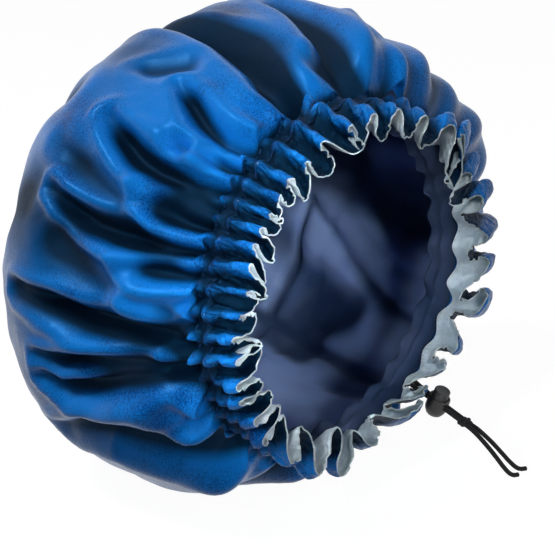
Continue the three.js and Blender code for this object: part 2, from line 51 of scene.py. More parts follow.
# Camera, as the photo was taken
CAMERA_AZIMUTH = -46
CAMERA_ELEVATION = 20
CAMERA_DISTANCE = 1.2
CAMERA_TARGET = (0, -0.052, 0.150)
CAMERA_LENS = 125.5
CAMERA_SHIFT = (0.0099, -0.0369)

# Floor, world and lamps; a lamp has its name, place, size, power, target and spread in degrees
FLOOR_REACH = 4
FLOOR_COLOUR = (0.15, 0.15, 0.15)
FLOOR_GLOW = 0.96
WORLD_LIGHT = 0.05
MIDDLE = (0, 0, 0.15)
LAMPS = [
    ("key", (-0.75, 0.2, 1.25), 0.34, 9.4, MIDDLE, 180),
    ("front", (-0.2, -1.2, 0.95), 0.5, 2.4, MIDDLE, 180),
    ("side", (-0.95, -0.4, 0.68), 0.15, 0.065, (0.09, -0.14, 0.09), 17),
    ("inside", (-0.45, -1.0, 0.5), 0.1, 0.085, (0.03, 0.03, 0.11), 13),
]

# Crown: its meridian from the casing to the closed end
AXIS_HEIGHT = 150 * MM
CROWN_RADIUS = 151 * MM
CROWN_START = 98.5 * MM
CROWN_BACK = 108 * MM
CROWN_DROP = 5 * MM
CROWN_SAG = 12 * MM
FRONT_SQUARENESS = 2.7
BACK_SQUARENESS = 2.0
WALL_RADIUS = 107.2 * MM

# How far the crown swells past its meridian: degrees round the axis and millimetres
SWELLS = [
    (8, 22), (20, 25), (33, 25), (42, 15), (52, 15), (62, 15), (70, 10), (80, 4), (90, -6), (102, -5),
    (111, -6), (131, -5), (150, -8), (166, -11), (180, -7), (192, -5), (210, 1), (235, 2), (262, 0),
    (288, -3), (305, 0), (329, 8), (350, 17),
]
FOLD_GAIN = 1.7
LEAN = 0.55
TUCK = 14 * MM
TUCK_DEGREES = 269
TUCK_HALF = 17
BULGE = 6 * MM
SLACK = 0.8 * MM
RIPPLE = 3.5 * MM
SLACK_LENGTHS = (38 * MM, 16 * MM, 11 * MM)
LEAST_RADIUS = 30 * MM
FLOOR_CLEARANCE = 0.4 * MM
FLOOR_SOFTNESS = 3 * MM

# Folds of the crown: depth, half width and rim height, and the route as degrees round the axis and
# millimetres along it
FOLDS = [
    (15, 9, 2.0, [(96, 40), (95, -4), (96, -36), (99, -62), (102, -84), (104, -98)]),
    (9, 11, 1.0, [(104, -86), (105, -98)]),
    (8, 8, 1.0, [(87, -84), (87, -98)]),
    (3, 6, 0.5, [(117, -3), (115, -18), (111, -32)]),
    (8, 5, 1.5, [(118, -42), (120, -53), (124, -69), (127, -85), (126, -98)]),
    (11, 6, 2.5, [(132, -14), (135, -26), (138, -41), (140, -59), (141, -79), (140, -98)]),
    (6, 6, 0.3, [(133, -66), (133, -70)]),
    (10, 7, 1.0, [(133, -88), (133, -98)]),
    (13, 8, 2.5, [(147, -62), (149, -78), (150, -98)]),
    (11, 5.5, 2.5, [(152, 6), (155, -8), (157, -24), (158, -48), (159, -92), (161, -98)]),
    (5, 9, 0.5, [(141, 13), (146, -19), (150, -42), (155, -56)]),
    (5, 10, 0.5, [(160, 7), (166, -17), (172, -44)]),
    (9, 6, 1.5, [(165, -60), (165, -81), (167, -98)]),
    (9, 6, 1.5, [(174, -70), (176, -92), (178, -98)]),
    (15, 7, 2.0, [(179, 26), (180, -10), (182, -33), (182, -59), (183, -83), (187, -98)]),
    (7, 6, 1.5, [(188, -88), (191, -98)]),
    (11, 5, 1.5, [(194, 6), (194, -12), (192, -40), (190, -70), (192, -87), (199, -98)]),
    (11, 6, 2.5, [(199, 4), (201, -15), (200, -33), (197, -51), (195, -80), (196, -98)]),
    (6, 8, 1.0, [(204, -84), (212, -98)]),
    (14, 10, 2.0, [(218, 10), (213, -30), (215, -64), (222, -90), (228, -98)]),
    (13, 9, 2.0, [(248, 10), (247, -40), (249, -80), (252, -98)]),
    (11, 8, 2.0, [(299, 45), (294, 5), (289, -45), (292, -98)]),
    (8, 6, 1.5, [(311, 10), (315, -40), (313, -98)]),
    (10, 7, 1.5, [(334, -15), (329, -55), (327, -98)]),
    (12, 9, 2.0, [(352, 55), (346, 15), (341, -45), (342, -98)]),
    (7, 6, 1.0, [(354, -35), (357, -70), (355, -98)]),
    (8, 8, 1.5, [(4, 25), (9, -40), (7, -98)]),
    (5, 8, 1.0, [(30, 25), (33, -40), (33, -98)]),
    (5, 6, 1.0, [(40, -30), (44, -80), (47, -98)]),
    (6, 7, 1.0, [(50, 10), (56, -60), (60, -98)]),
    (6, 6, 1.5, [(62, -50), (64, -80), (67, -98)]),
    (13, 7, 2.0, [(70, 20), (75, -40), (80, -85), (78, -98)]),
]

# Slack folds of the crown's back, from near its middle outwards
BACK_FOLDS = [
    (3, 10, 1.0, [(26, 106), (12, 90), (4, 62), (0, 34)]),
    (2.5, 12, 0.6, [(60, 104), (44, 84), (38, 55)]),
    (3, 9, 1.0, [(88, 107), (68, 92), (60, 66), (55, 40)]),
    (2, 11, 0.6, [(118, 104), (104, 86), (97, 62)]),
    (3, 9, 1.0, [(152, 107), (136, 90), (129, 66), (126, 42)]),
    (2.5, 14, 0.5, [(178, 104), (163, 84), (157, 58), (155, 36)]),
    (3, 9, 1.0, [(214, 107), (198, 90), (190, 66)]),
    (2.5, 11, 0.6, [(244, 104), (230, 86), (223, 60)]),
    (3, 9, 1.0, [(290, 107), (274, 90), (268, 62), (265, 35)]),
    (2.5, 12, 0.6, [(316, 104), (302, 84), (296, 60)]),
    (3, 9, 1.0, [(350, 107), (334, 90), (328, 62), (322, 30)]),
]

# Folds of the lining, which stand inwards, as height, half width and route; those with a negative height
# are creases between them
LINING_FOLDS = [
    (7, 14, [(354, 62), (348, 43), (342, 31), (337, 15), (332, 1), (328, -16), (325, -32), (322, -54),
             (321, -85)]),
    (-6, 3.5, [(4, 62), (357, 43), (351, 31), (346, 15), (341, 1), (337, -16), (334, -32), (331, -54),
               (329, -85)]),
    (-2, 4, [(8, 50), (2, 34), (357, 22), (351, 4), (347, -16), (344, -32), (342, -51), (341, -85)]),
    (-6, 3.5, [(319, 62), (317, 54), (317, 40), (316, 24), (314, 5), (312, -24), (310, -50), (309, -85)]),
    (6, 10, [(309, 50), (306, 27), (304, 1), (304, -36), (303, -80)]),
    (2, 6, [(296, 20), (296, -12), (297, -45)]),
    (4, 14, [(14, 50), (16, 0), (19, -70)]),
    (4, 14, [(48, 50), (50, 0), (53, -70)]),
    (5, 14, [(82, 60), (80, 0), (82, -80)]),
    (4, 13, [(112, 45), (116, 0), (114, -70)]),
    (5, 14, [(150, 60), (146, 0), (147, -80)]),
    (4, 13, [(182, 50), (185, 0), (187, -70)]),
    (5, 14, [(216, 60), (213, 0), (211, -80)]),
    (4, 13, [(247, 45), (250, 0), (253, -70)]),
    (4, 13, [(278, 60), (276, 0), (275, -80)]),
]
LINING_CLEARANCE = 1.6 * MM
LEAST_CLEARANCE = 1.4 * MM
LINING_HANG = 4 * MM
LINING_SHORTER = 2.5 * MM
LINING_ROOT = 6.4 * MM
LINING_GATHER_SHARE = 0.8
LINING_REACH = 14

# Cloth: its thickness, the grids that it is made on and how its simulations are set
CROWN_CLOTH_THICKNESS = 0.5 * MM
FRILL_CLOTH_THICKNESS = 0.3 * MM
SIM_COLUMNS = 384
SIM_ROWS = 58
GRID_COLUMNS = 768
GRID_ROWS = 112
CASING_ROWS = 9
FEWEST_COLUMNS = 24
SIM_SPACING = 5 * MM
GRID_SPACING = 3 * MM
SAG_REMOVED = 0.9
CROWN_SIMULATION = dict(frames=18, goal=0.35, spare=0.12, stiffness=15, bending=0.5, pressure=0.8,
                        cap=14 * MM, apart=0.0)
FRILL_SIMULATION = dict(frames=10, goal=0.4, spare=0.03, stiffness=10, bending=0.3, pressure=0.0,
                        cap=5 * MM, apart=1.1 * MM)

# Relief, from which the satin paints shade in valleys and highlight on ridges: over how many rows and
# columns the broad shape is taken, and what stands a full step over it
CROWN_WINDOW = (9, 70)
CROWN_RELIEF = 4 * MM
# How far the casing is marked lower in relief, which its satin shows as painted shade
CASING_SHADE = 0.7
FRILL_WINDOW = (2, 30)
FRILL_RELIEF = 5 * MM

# Casing and its gathers: where each pleat starts, in degrees round the axis, and how sharp the gathers are
CASING_RADIUS = 104 * MM
CASING_FORWARD = 104 * MM
CASING_HALF = 5.5 * MM
CASING_LAYERS_APART = 6.2 * MM
CASING_SINK = 0.2 * MM
CASING_BULGE = 0.5 * MM
CASING_FRONT_SINK = 1.2 * MM
PLEAT_STARTS = [
    0, 12, 23, 34, 42, 59, 72, 85, 97, 108, 118, 127, 134, 140, 146, 152, 159,
    166, 174, 181, 188, 196, 203, 211, 219, 230, 243, 258, 271, 286, 298, 310, 322, 335, 347,
]
PLEATS = len(PLEAT_STARTS)
GATHER_DEPTH = 3.8 * MM
GATHER_SHARPNESS = [(0, 1), (50, 1), (75, 1.7), (118, 1.7), (135, 0.7), (200, 0.7), (250, 1)]
GATHER_RANGE = (0.45, 1.2)
OUTWARDS = 0.9
STITCHES = 180
STITCH_RADIUS = 0.32 * MM
STITCH_LIFTS = (-0.5, 0.35, 0.45, 0.35, -0.5)
STITCH_STAND = 0.1 * MM
STITCH_INSET = 1 * MM

# Frill
PLEAT_STEPS = 26
FINE_STEPS = 12
FRILL_ROWS = 13
FRILL_START = 109.5 * MM
FRILL_END = 129 * MM
FRILL_LAYER = 0.3 * MM
FRILL_CURL = 2.2 * MM
# How far the frill's blue band is marked lower in relief, which its satin shows as painted shade
FRILL_SHADE = 0.8
FULL_SWING = 15 * MM
CRUMPLE = 0.35 * MM
HEM_RADIUS = 0.45 * MM

# How far the pleats differ: the range of their swings, the most that their shares, leans, flares and tips
# change, and the shares' limits. Flares and tips are in millimetres
SWING_RANGE = (0.75, 1.15)
SHARE_CHANGE = 0.09
SHARE_LIMITS = (0.16, 0.7)
LEAN_CHANGE = 0.9
FLARE_CHANGE = 4
TIP_CHANGE = 3.5

# The frill's form by degrees round the axis: how far its middle lies outside the casing's and half of its
# swing, the share of a pleat that its outward loop takes, how straight the loop's sides are, how it leans,
# how far it bellies out on its way to the edge, and how late it spreads. Lengths are in millimetres
FRILL_DEGREES = [0, 35, 50, 65, 90, 135, 180, 225, 270, 295, 315, 335]
FRILL_MIDDLES = [4, 2, -2, -8, -9, -9, -7, -4.5, -2, -4, -2, 4]
FRILL_SWINGS = [15, 14, 15, 11, 12, 10, 12, 14, 14, 12, 11.5, 14]
OUTWARD_SHARES = [0.5, 0.47, 0.55, 0.35, 0.25, 0.26, 0.25, 0.4, 0.56, 0.52, 0.5, 0.5]
SQUARES = [1.3, 1, 0.4, 0.6, 1, 1.3, 1.3, 0.8, 0.4, 0.6, 1, 1.3]
LEANS = [0, 0.3, 0.3, 0.5, 0.5, 0.2, 0, 0.4, 0.9, 0.8, 0.4, 0]
BELLIES = [27, 22, 9, 3, 1, 1, 2, 3, 4, 6, 9, 22]
DELAYS = [0.12, 0.12, 0.1, 0, 0, 0, 0, 0, 0, 0, 0.05, 0.1]

# Cords: the same routes as the frame's, in millimetres; the first is given as millimetres across and out
CORD_RADIUS = 1.5 * MM
PAIR_GAP = 0.4 * MM
EXIT_DEGREES = -50.7
EXIT_TURN = [(9, -0.4), (7, -0.2), (5, 0.4), (3.3, 1.7), (2.2, 3.8), (1.8, 6.2)]
PAIR_ROUTE = [
    (70.9, -104, 63.3), (74.7, -104.6, 58.7), (77.5, -106.6, 55.1), (79.4, -110.2, 52.4),
    (80, -114.6, 50.5), (80.7, -122.3, 47.5), (81.6, -132, 43.8), (82.2, -138.3, 41.4),
]
PAIR_TURN_SHARES = [0, 0.15, 0.45, 0.8, 1, 1, 1, 1]
TAIL_A = [
    (85, -147.7, 37.6), (86.2, -151, 35.7), (89.2, -154.3, 31.6), (94.4, -157.5, 25),
    (100.3, -160, 17.4), (106.3, -162.2, 9.8), (111.2, -163.8, 4.6), (115, -165, 2.3), (119, -166.3, 1.7),
]
TAIL_B = [
    (81.2, -148, 37.6), (81.6, -151.6, 35.8), (83.8, -155.5, 31.4), (87.8, -159.3, 24.6),
    (92.6, -162.2, 17), (97.4, -164.4, 9.6), (101.4, -165.9, 4.6), (104.6, -167, 2.3), (108.2, -168.2, 1.7),
]
STRAND_POINTS = 70
TAIL_POINTS = 50
RING_POINTS = 260
RING_GAP = 9.4 * MM
KNOT_TURNS = 2.3
KNOT_REACH = 2.6 * MM
KNOT_LENGTH = 5.2 * MM
KNOT_SLANT = 1.3 * MM
HOLE_HALF = 4.3 * MM
HOLE_RADIUS = 2.6 * MM
HOLE_LIFT = 0.7 * MM
HOLE_THREAD = 0.5 * MM

# Cord lock, along its axis from the cords' middle; its outlines are radius and height in millimetres, from
# the barrel's foot, its rim or the button's top
LOCK_PLACE = 5
LOCK_SIDES = 56
BARREL_FOOT = -9 * MM
BARREL_RIM = 4.5 * MM
BUTTON_TOP = BARREL_RIM + 5.5 * MM
BARREL_OUTSIDE = [
    (1.5, 0.05), (4.2, 0), (5.0, 0.25), (5.55, 0.8), (6.0, 1.7), (6.6, 2.8), (7.1, 4.2), (7.25, 6),
]
BARREL_LIP = [(7.25, -0.9), (7.1, -0.3), (6.7, 0), (6.1, 0), (5.65, -0.3), (5.6, -1.5)]
BARREL_WELL = [(5.6, 2), (1.0, 1.6)]
BUTTON_FOOT = [(4.9, 5.5), (5.2, 5.8)]
BUTTON_SIDE = [(5.3, -3)]
BUTTON_CAP = [(5.3, -0.9), (5.2, -0.4), (4.95, -0.12), (4.6, 0), (4.2, -0.05), (3.6, -0.28), (2.0, -0.36)]
SPRING_START = BARREL_FOOT + 1.7 * MM
SPRING_LENGTH = 3.6 * MM
SPRING_TURNS = 3.4
SPRING_RADIUS = 3 * MM
SPRING_WIRE = 0.3 * MM

# Patterns of the materials: how many cells of each fit in a metre
GRAIN_SCALE = 950.0
DRIFT_SCALE = 22.0
CREASE_SCALE = 110.0
BRAID_SCALE = 1500.0
SKIN_SCALE = 900.0

# Random draws, always in the same order
SEED = 11
rng = np.random.default_rng(SEED)
GATHER_HEIGHTS = rng.uniform(*GATHER_RANGE, PLEATS)


# Sums
def smooth(start, end, x):
    t = np.clip((x - start) / (end - start), 0, 1)
    return t * t * (3 - 2 * t)


def by_turn(theta, degrees, values):
    """Values that are listed by degrees round the axis, at any direction."""
    return np.interp(np.degrees(theta) % 360, [*degrees, 360 + degrees[0]], [*values, values[0]])


def unit(v):
    v = np.array(v, float)
    return v / np.linalg.norm(v)


def around(radius, theta, y, height=AXIS_HEIGHT):
    """Points round the bonnet's axis."""
    x = radius * np.cos(theta)
    return np.stack([x, np.broadcast_to(y, x.shape), height + radius * np.sin(theta)], axis=-1)


def window(reach):
    """The weights of a soft window."""
    weights = np.hanning(2 * reach + 3)[1:-1]
    return weights / weights.sum()


def smooth_rows(values, reach):
    padded = np.vstack([values[:1]] * reach + [values] + [values[-1:]] * reach)
    return sum(w * padded[k:k + len(values)] for k, w in enumerate(window(reach)))


def broad(values, reach_rows, reach_columns):
    """A grid's values smoothed with a wide soft window, round the columns and along the rows."""
    spectrum = np.fft.rfft(values, axis=1)
    k = np.arange(spectrum.shape[1])
    spectrum *= np.exp(-(k * reach_columns * math.pi / values.shape[1]) ** 2)[None, :]
    return smooth_rows(np.fft.irfft(spectrum, n=values.shape[1], axis=1), reach_rows)


# Materials: their node trees, which the world's shares
def add(owner, kind, **inputs):
    node = owner.node_tree.nodes.new(kind)
    for key, value in inputs.items():
        node.inputs[key.replace("_", " ")].default_value = value
    return node


def join(owner, out, into):
    owner.node_tree.links.new(out, into)


def texture(owner, kind, **inputs):
    """A procedural texture in the object's own places."""
    place = add(owner, "ShaderNodeTexCoord")
    node = add(owner, kind, **inputs)
    join(owner, place.outputs["Object"], node.inputs["Vector"])
    return node


def marked(owner, name):
    node = add(owner, "ShaderNodeAttribute")
    node.attribute_name = name
    return node.outputs["Fac"]


def worked_out(owner, operation, *values):
    """A sum of values, each a socket or a number."""
    node = add(owner, "ShaderNodeMath")
    node.operation = operation
    for value, socket in zip(values, node.inputs):
        if isinstance(value, float):
            socket.default_value = value
        else:
            join(owner, value, socket)
    return node.outputs[0]


def ranged(owner, value, start, end, kind="LINEAR"):
    """A value taken from one range to another."""
    node = add(owner, "ShaderNodeMapRange")
    for key, limit in zip(("From Min", "From Max", "To Min", "To Max"), (*start, *end)):
        node.inputs[key].default_value = limit
    node.interpolation_type = kind
    join(owner, value, node.inputs["Value"])
    return node.outputs["Result"]


def graded(owner, value, colours, places=(0.0, 1.0)):
    """A colour between two, by a value."""
    node = add(owner, "ShaderNodeValToRGB")
    for element, colour, place in zip(node.color_ramp.elements, colours, places):
        element.position = place
        element.color = (*colour, 1)
    join(owner, value, node.inputs["Fac"])
    return node.outputs["Color"]


def bump(owner, height, strength, distance, under=None, invert=False):
    node = add(owner, "ShaderNodeBump", Strength=strength, Distance=distance)
    node.invert = invert
    join(owner, height, node.inputs["Height"])
    if under:
        join(owner, under, node.inputs["Normal"])
    return node.outputs["Normal"]


def shader(name, base, roughness, specular=0.5, metallic=0.0, gloss_tint=(1, 1, 1)):
    material = bpy.data.materials.new(name)
    material.use_nodes = True
    node = material.node_tree.nodes["Principled BSDF"]
    values = {"Base Color": (*base, 1), "Roughness": roughness, "Specular IOR Level": specular,
              "Metallic": metallic, "Specular Tint": (*gloss_tint, 1)}
    for key, value in values.items():
        node.inputs[key].default_value = value
    return material, node


def satin(name, dark, light, roughness, tint, specular, painted_shade_highlight, weave=1.0, shift=0.0, crinkle=0.0):
    """Woven satin: fine grain in colour and gloss, soft colour drift and a faint thread bump. Its colour is
    painted darker in the valleys of its folds as painted shade and lighter on the ridges as painted
    highlight, as the mesh's relief says, and its gloss falls in the valleys; with a shift, its colour also
    moves towards the dark one in the valleys and the light one on the ridges, more painted shade and
    highlight.
    A crinkle is how strongly small creases show where the mesh is marked for them."""
    material, node = shader(name, light, roughness, specular, gloss_tint=tint)
    weave_noise = texture(material, "ShaderNodeTexNoise", Scale=GRAIN_SCALE, Detail=3.0, Roughness=0.75)
    grain = weave_noise.outputs["Fac"]
    drift = texture(material, "ShaderNodeTexNoise", Scale=DRIFT_SCALE, Detail=2.0).outputs["Fac"]
    relief = marked(material, "relief")
    blend = worked_out(material, "MULTIPLY_ADD", grain, weave, drift)
    # Painted shade and highlight: the relief moves the colour towards the dark one in valleys and the light
    # one on ridges
    grain_and_painted_shade = worked_out(material, "MULTIPLY_ADD", relief, shift, blend)
    places = (0.25 + 0.5 * weave, min(1.0, 0.75 + 0.5 * weave))
    shade = add(material, "ShaderNodeVectorMath")
    shade.operation = "SCALE"
    join(material, graded(material, grain_and_painted_shade, (dark, light), places), shade.inputs[0])
    # Painted shade and highlight: the base colour is scaled down in valleys and up on ridges by the relief
    join(material, ranged(material, relief, (-1.0, 1.3), painted_shade_highlight, "SMOOTHSTEP"), shade.inputs["Scale"])
    join(material, shade.outputs["Vector"], node.inputs["Base Color"])
    gloss = ranged(material, grain, (0.3, 0.7), (roughness - 0.08, roughness + 0.12))
    matte = ranged(material, relief, (-0.9, 0.2), (0.35, 0.0))
    join(material, worked_out(material, "ADD", gloss, matte), node.inputs["Roughness"])
    coarse = None
    if crinkle:
        creases = texture(material, "ShaderNodeTexNoise", Scale=CREASE_SCALE, Detail=1.0, Distortion=1.5)
        raised = worked_out(material, "MULTIPLY", creases.outputs["Fac"], marked(material, "crinkled"))
        coarse = bump(material, raised, crinkle, 4 * MM)
    join(material, bump(material, grain, 0.3, 0.3 * MM, coarse), node.inputs["Normal"])
    return material


def braid(name, dark, light):
    """Braided or twisted thread: small raised cells, whose colour is painted lighter on top and darker
    between them, as painted shade.
    """
    material, node = shader(name, light, 0.8, 0.3)
    cells = texture(material, "ShaderNodeTexVoronoi", Scale=BRAID_SCALE).outputs["Distance"]
    # Painted shade: the colour darkens between the raised cells
    join(material, graded(material, cells, (light, dark)), node.inputs["Base Color"])
    join(material, bump(material, cells, 0.5, 0.3 * MM, invert=True), node.inputs["Normal"])
    return material


def moulded(name, base, roughness, metallic=0.0):
    """Moulded plastic or drawn metal: a fine uneven skin."""
    material, node = shader(name, base, roughness, 0.5, metallic)
    skin = texture(material, "ShaderNodeTexNoise", Scale=SKIN_SCALE, Detail=2.0).outputs["Fac"]
    gloss = ranged(material, skin, (0.0, 1.0), (roughness - 0.08, roughness + 0.08))
    join(material, gloss, node.inputs["Roughness"])
    join(material, bump(material, skin, 0.15, 0.2 * MM), node.inputs["Normal"])
    return material


# Each satin's last pair is how dark its colour is painted in the valleys, as painted shade, and how light on
# the ridges, as painted highlight
BLUE = satin("satin_blue_cloth", (0.0005, 0.029, 0.148), (0.003, 0.125, 0.43), 0.29, (0.07, 0.42, 1), 0.42,
             (0.02, 1.65), crinkle=0.5)
SLATE = satin("satin_slate_cloth", (0.03, 0.08, 0.23), (0.2, 0.29, 0.55), 0.4, (0.55, 0.7, 1), 0.5,
              (0.3, 1.4), weave=0.2, shift=0.15)
PALE = satin("satin_pale_cloth", (0.5, 0.64, 0.74), (0.7, 0.84, 0.94), 0.42, (0.9, 0.97, 1), 0.4,
             (0.85, 1.1), crinkle=0.4)
HEM = braid("hem_thread", (0.55, 0.68, 0.74), (0.75, 0.86, 0.9))
THREAD = braid("sewing_thread", (0.008, 0.03, 0.12), (0.015, 0.06, 0.22))
ELASTIC = braid("braided_elastic", (0.002, 0.002, 0.003), (0.011, 0.011, 0.013))
PLASTIC = moulded("black_plastic", (0.018, 0.018, 0.02), 0.42)
PLASTIC_WORN = moulded("black_plastic_button", (0.035, 0.036, 0.038), 0.48)
STEEL = moulded("spring_wire", (0.6, 0.61, 0.62), 0.28, 1.0)


# Pieces
def shown(name, data):
    obj = bpy.data.objects.new(name, data)
    bpy.context.scene.collection.objects.link(obj)
    return obj


def stand_for(obj, node, body):
    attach(obj, body)
    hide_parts(node)


def piece(name, points, faces, material, node, slot, body="bonnet"):
    """A smooth mesh in place of a node of the frame."""
    mesh = bpy.data.meshes.new(name)
    mesh.from_pydata(np.asarray(points).tolist(), [], faces)
    mesh.update()
    obj = shown(name, mesh)
    mesh.materials.append(material)
    for face in mesh.polygons:
        face.use_smooth = True
    stand_for(obj, node, body)
    return obj


def set_relief(obj, relief, crinkled):
    """Marks how far each point stands over the broad shape, from -1 in a valley to 1 on a ridge, which the
    satin turns into painted shade and painted highlight, and where small creases show, from 0 to 1. Where it
    is given lowered, as on the casing and the frill's blue band, the mark also holds painted shade."""
    for name, values in (("relief", relief), ("crinkled", crinkled)):
        attribute = obj.data.attributes.new(name, "FLOAT", "POINT")
        attribute.data.foreach_set("value", np.asarray(values, np.float32).ravel())


def thicken(obj, thickness, offset):
    modifier = obj.modifiers.new("cloth", "SOLIDIFY")
    modifier.thickness = thickness
    modifier.offset = offset
    graph = bpy.context.evaluated_depsgraph_get()
    mesh = bpy.data.meshes.new_from_object(obj.evaluated_get(graph))
    obj.modifiers.clear()
    obj.data = mesh


def curve_points(route, count):
    """Points evenly spaced along a smooth curve through the route's points."""
    p = np.array(route, float)
    ends = np.vstack([2 * p[0] - p[1], p, 2 * p[-1] - p[-2]])
    fine = []
    for i in range(len(p) - 1):
        t = np.linspace(0, 1, 24, endpoint=False)[:, None]
        fine.append(between(*ends[i:i + 4], t))
    fine = np.vstack([*fine, p[-1:]])
    along = np.concatenate([[0], np.cumsum(np.linalg.norm(np.diff(fine, axis=0), axis=1))])
    places = np.linspace(0, along[-1], count)
    return np.stack([np.interp(places, along, fine[:, k]) for k in range(3)], axis=1)


def between(a, b, c, d, t):
    """A smooth way from b to c, for t from 0 to 1; a and d are the points before and after."""
    return 0.5 * (2 * b + (c - a) * t + (2 * a - 5 * b + 4 * c - d) * t ** 2
                  + (3 * b - a - 3 * c + d) * t ** 3)


def cross_sections(p, closed):
    """Two directions across a line at each of its points, which don't twist along it."""
    tangent = np.roll(p, -1, 0) - np.roll(p, 1, 0) if closed else np.gradient(p, axis=0)
    tangent /= np.linalg.norm(tangent, axis=1)[:, None]
    side = unit(np.cross(tangent[0], [0.1, 0.2, 1.0]))
    sides = []
    for t in tangent:
        side = unit(side - t * (side @ t))
        sides.append(side)
    s = np.array(sides)
    if closed:
        # The small twist left after a whole turn is spread evenly
        gap = unit(s[-1] - tangent[0] * (s[-1] @ tangent[0]))
        angle = math.atan2(np.cross(s[0], gap) @ tangent[0], s[0] @ gap)
        other = np.cross(tangent, s)
        a = (-angle * np.arange(len(p)) / (len(p) - 1))[:, None]
        s = s * np.cos(a) + other * np.sin(a)
    return s, np.cross(tangent, s)


def tube_mesh(points, radius, sides, closed=False):
    """Vertices and faces of a tube along points."""
    p = np.asarray(points, float)
    n = len(p)
    s, u = cross_sections(p, closed)
    a = np.arange(sides) / sides * TURN
    ring = s[:, None, :] * np.cos(a)[None, :, None] + u[:, None, :] * np.sin(a)[None, :, None]
    v = (p[:, None, :] + ring * radius).reshape(-1, 3)
    faces = []
    for i in range(n if closed else n - 1):
        for j in range(sides):
            k = (j + 1) % sides
            m = (i + 1) % n
            faces.append((i * sides + j, i * sides + k, m * sides + k, m * sides + j))
    if not closed:
        faces.append(tuple(range(sides))[::-1])
        faces.append(tuple((n - 1) * sides + j for j in range(sides)))
    return v, faces


def tubes(lines, sides):
    """Several tubes in one mesh, each given as its line and its radius."""
    points, faces = [], []
    for line, radius in lines:
        v, f = tube_mesh(line, radius, sides)
        faces.extend(tuple(i + len(points) for i in face) for face in f)
        points.extend(v)
    return points, faces


# Crown
def meridian(count=600):
    """Places along the crown's meridian: distance from the casing, along the axis, radius and drop."""
    a = np.linspace(0, math.pi / 2, count)
    rise = np.sin(a) ** (2 / FRONT_SQUARENESS)
    front = (-CROWN_START * np.cos(a) ** (2 / FRONT_SQUARENESS),
             WALL_RADIUS + (CROWN_RADIUS - WALL_RADIUS) * rise, CROWN_DROP * rise)
    share = np.sin(a) ** (2 / BACK_SQUARENESS)
    back = (CROWN_BACK * share, CROWN_RADIUS * np.cos(a) ** (2 / BACK_SQUARENESS),
            CROWN_DROP + CROWN_SAG * share ** 2)
    y, r, drop = (np.concatenate([f, b[1:]]) for f, b in zip(front, back))
    m = np.concatenate([[0], np.cumsum(np.hypot(np.diff(y), np.diff(r)))])
    return m, y, r, drop


PLACES, PLACE_Y, PLACE_RADIUS, PLACE_DROP = meridian()
WIDEST = float(np.interp(0, PLACE_Y, PLACES))


def places_along(count):
    """Distances from the casing for so many rows, closer together near it."""
    t = np.linspace(0, 1, count)
    return PLACES[-1] * (0.55 * t + 0.45 * t ** 2)


def pleat_phase(theta):
    """How many pleats lie before each direction, with soft changes where the pleats' widths change."""
    starts = np.radians(PLEAT_STARTS)
    places = np.concatenate([starts - TURN, starts, starts + TURN])
    counts = np.arange(-PLEATS, 2 * PLEATS)
    shifts = np.radians([-4, -2, 0, 2, 4])
    return sum(np.interp(theta % TURN + shift, places, counts) for shift in shifts) / len(shifts)


def gather_wave(theta):
    """The gathers at the casing, one for each pleat of the frill: broad ridges and sharp valleys at -1."""
    phase = pleat_phase(theta)
    sharpness = by_turn(theta, *zip(*GATHER_SHARPNESS))
    ridge = np.maximum(0, 0.5 + 0.5 * np.sin(phase * TURN)) ** sharpness
    pleat = np.floor(phase + 0.25).astype(int) % PLEATS
    return 2 * ridge * GATHER_HEIGHTS[pleat] - 1


def fold_field(theta, m, radius, folds):
    """How far the listed folds move each point outwards, for grids of turn, place and radius. A long fold
    starts narrow and shallow."""
    out = np.zeros_like(theta)
    for depth, half, rim, route in folds:
        n = 4 * len(route) + 1
        steps = np.linspace(0, len(route) - 1, n)
        turns = np.interp(steps, np.arange(len(route)), np.radians([p[0] for p in route]))
        at = np.interp([p[1] * MM for p in route], PLACE_Y, PLACES)
        at = np.interp(steps, np.arange(len(route)), at)
        nearest = np.full(theta.shape, 9.0)
        share = np.zeros_like(theta)
        for i in range(n - 1):
            # Distance to each short length of the route, on the unrolled surface
            x = ((theta - turns[i] + math.pi) % TURN - math.pi) * radius
            z = m - at[i]
            step_x = (turns[i + 1] - turns[i]) * radius
            step_z = at[i + 1] - at[i]
            t = np.clip((x * step_x + z * step_z) / (step_x * step_x + step_z * step_z + 1e-12), 0, 1)
            d = np.hypot(x - step_x * t, z - step_z * t)
            nearer = d < nearest
            nearest = np.where(nearer, d, nearest)
            share = np.where(nearer, (i + t) / (n - 1), share)
        width = 1.2 * half * MM * (0.75 + 0.45 * smooth(0, 0.5, share))
        strength = 0.3 + 0.7 * smooth(0, 0.25, share)
        if len(route) < 3:
            strength, width = 1.0, half * MM
        u = nearest / width
        out += -depth * MM * strength * np.exp(-u ** 2) + rim * MM * np.exp(-((u - 1.9) / 0.6) ** 2)
    return out


def slack_waves(theta, m):
    """Small slack waves of two sizes, on routes that bend."""
    long, middle, short = SLACK_LENGTHS
    bend = 2 * np.sin(m / long) + 1.5 * np.sin(3 * theta)
    wave = np.sin(11 * theta + bend) * np.sin(m / middle + 2 * np.sin(4 * theta))
    wave += 0.6 * np.sin(19 * theta - 2 * bend) * np.sin(m / short + 3 * np.sin(5 * theta))
    return SLACK * wave * smooth(0.5, 1.2, m / WIDEST) * (1 - smooth(2.2, 2.6, m / WIDEST))


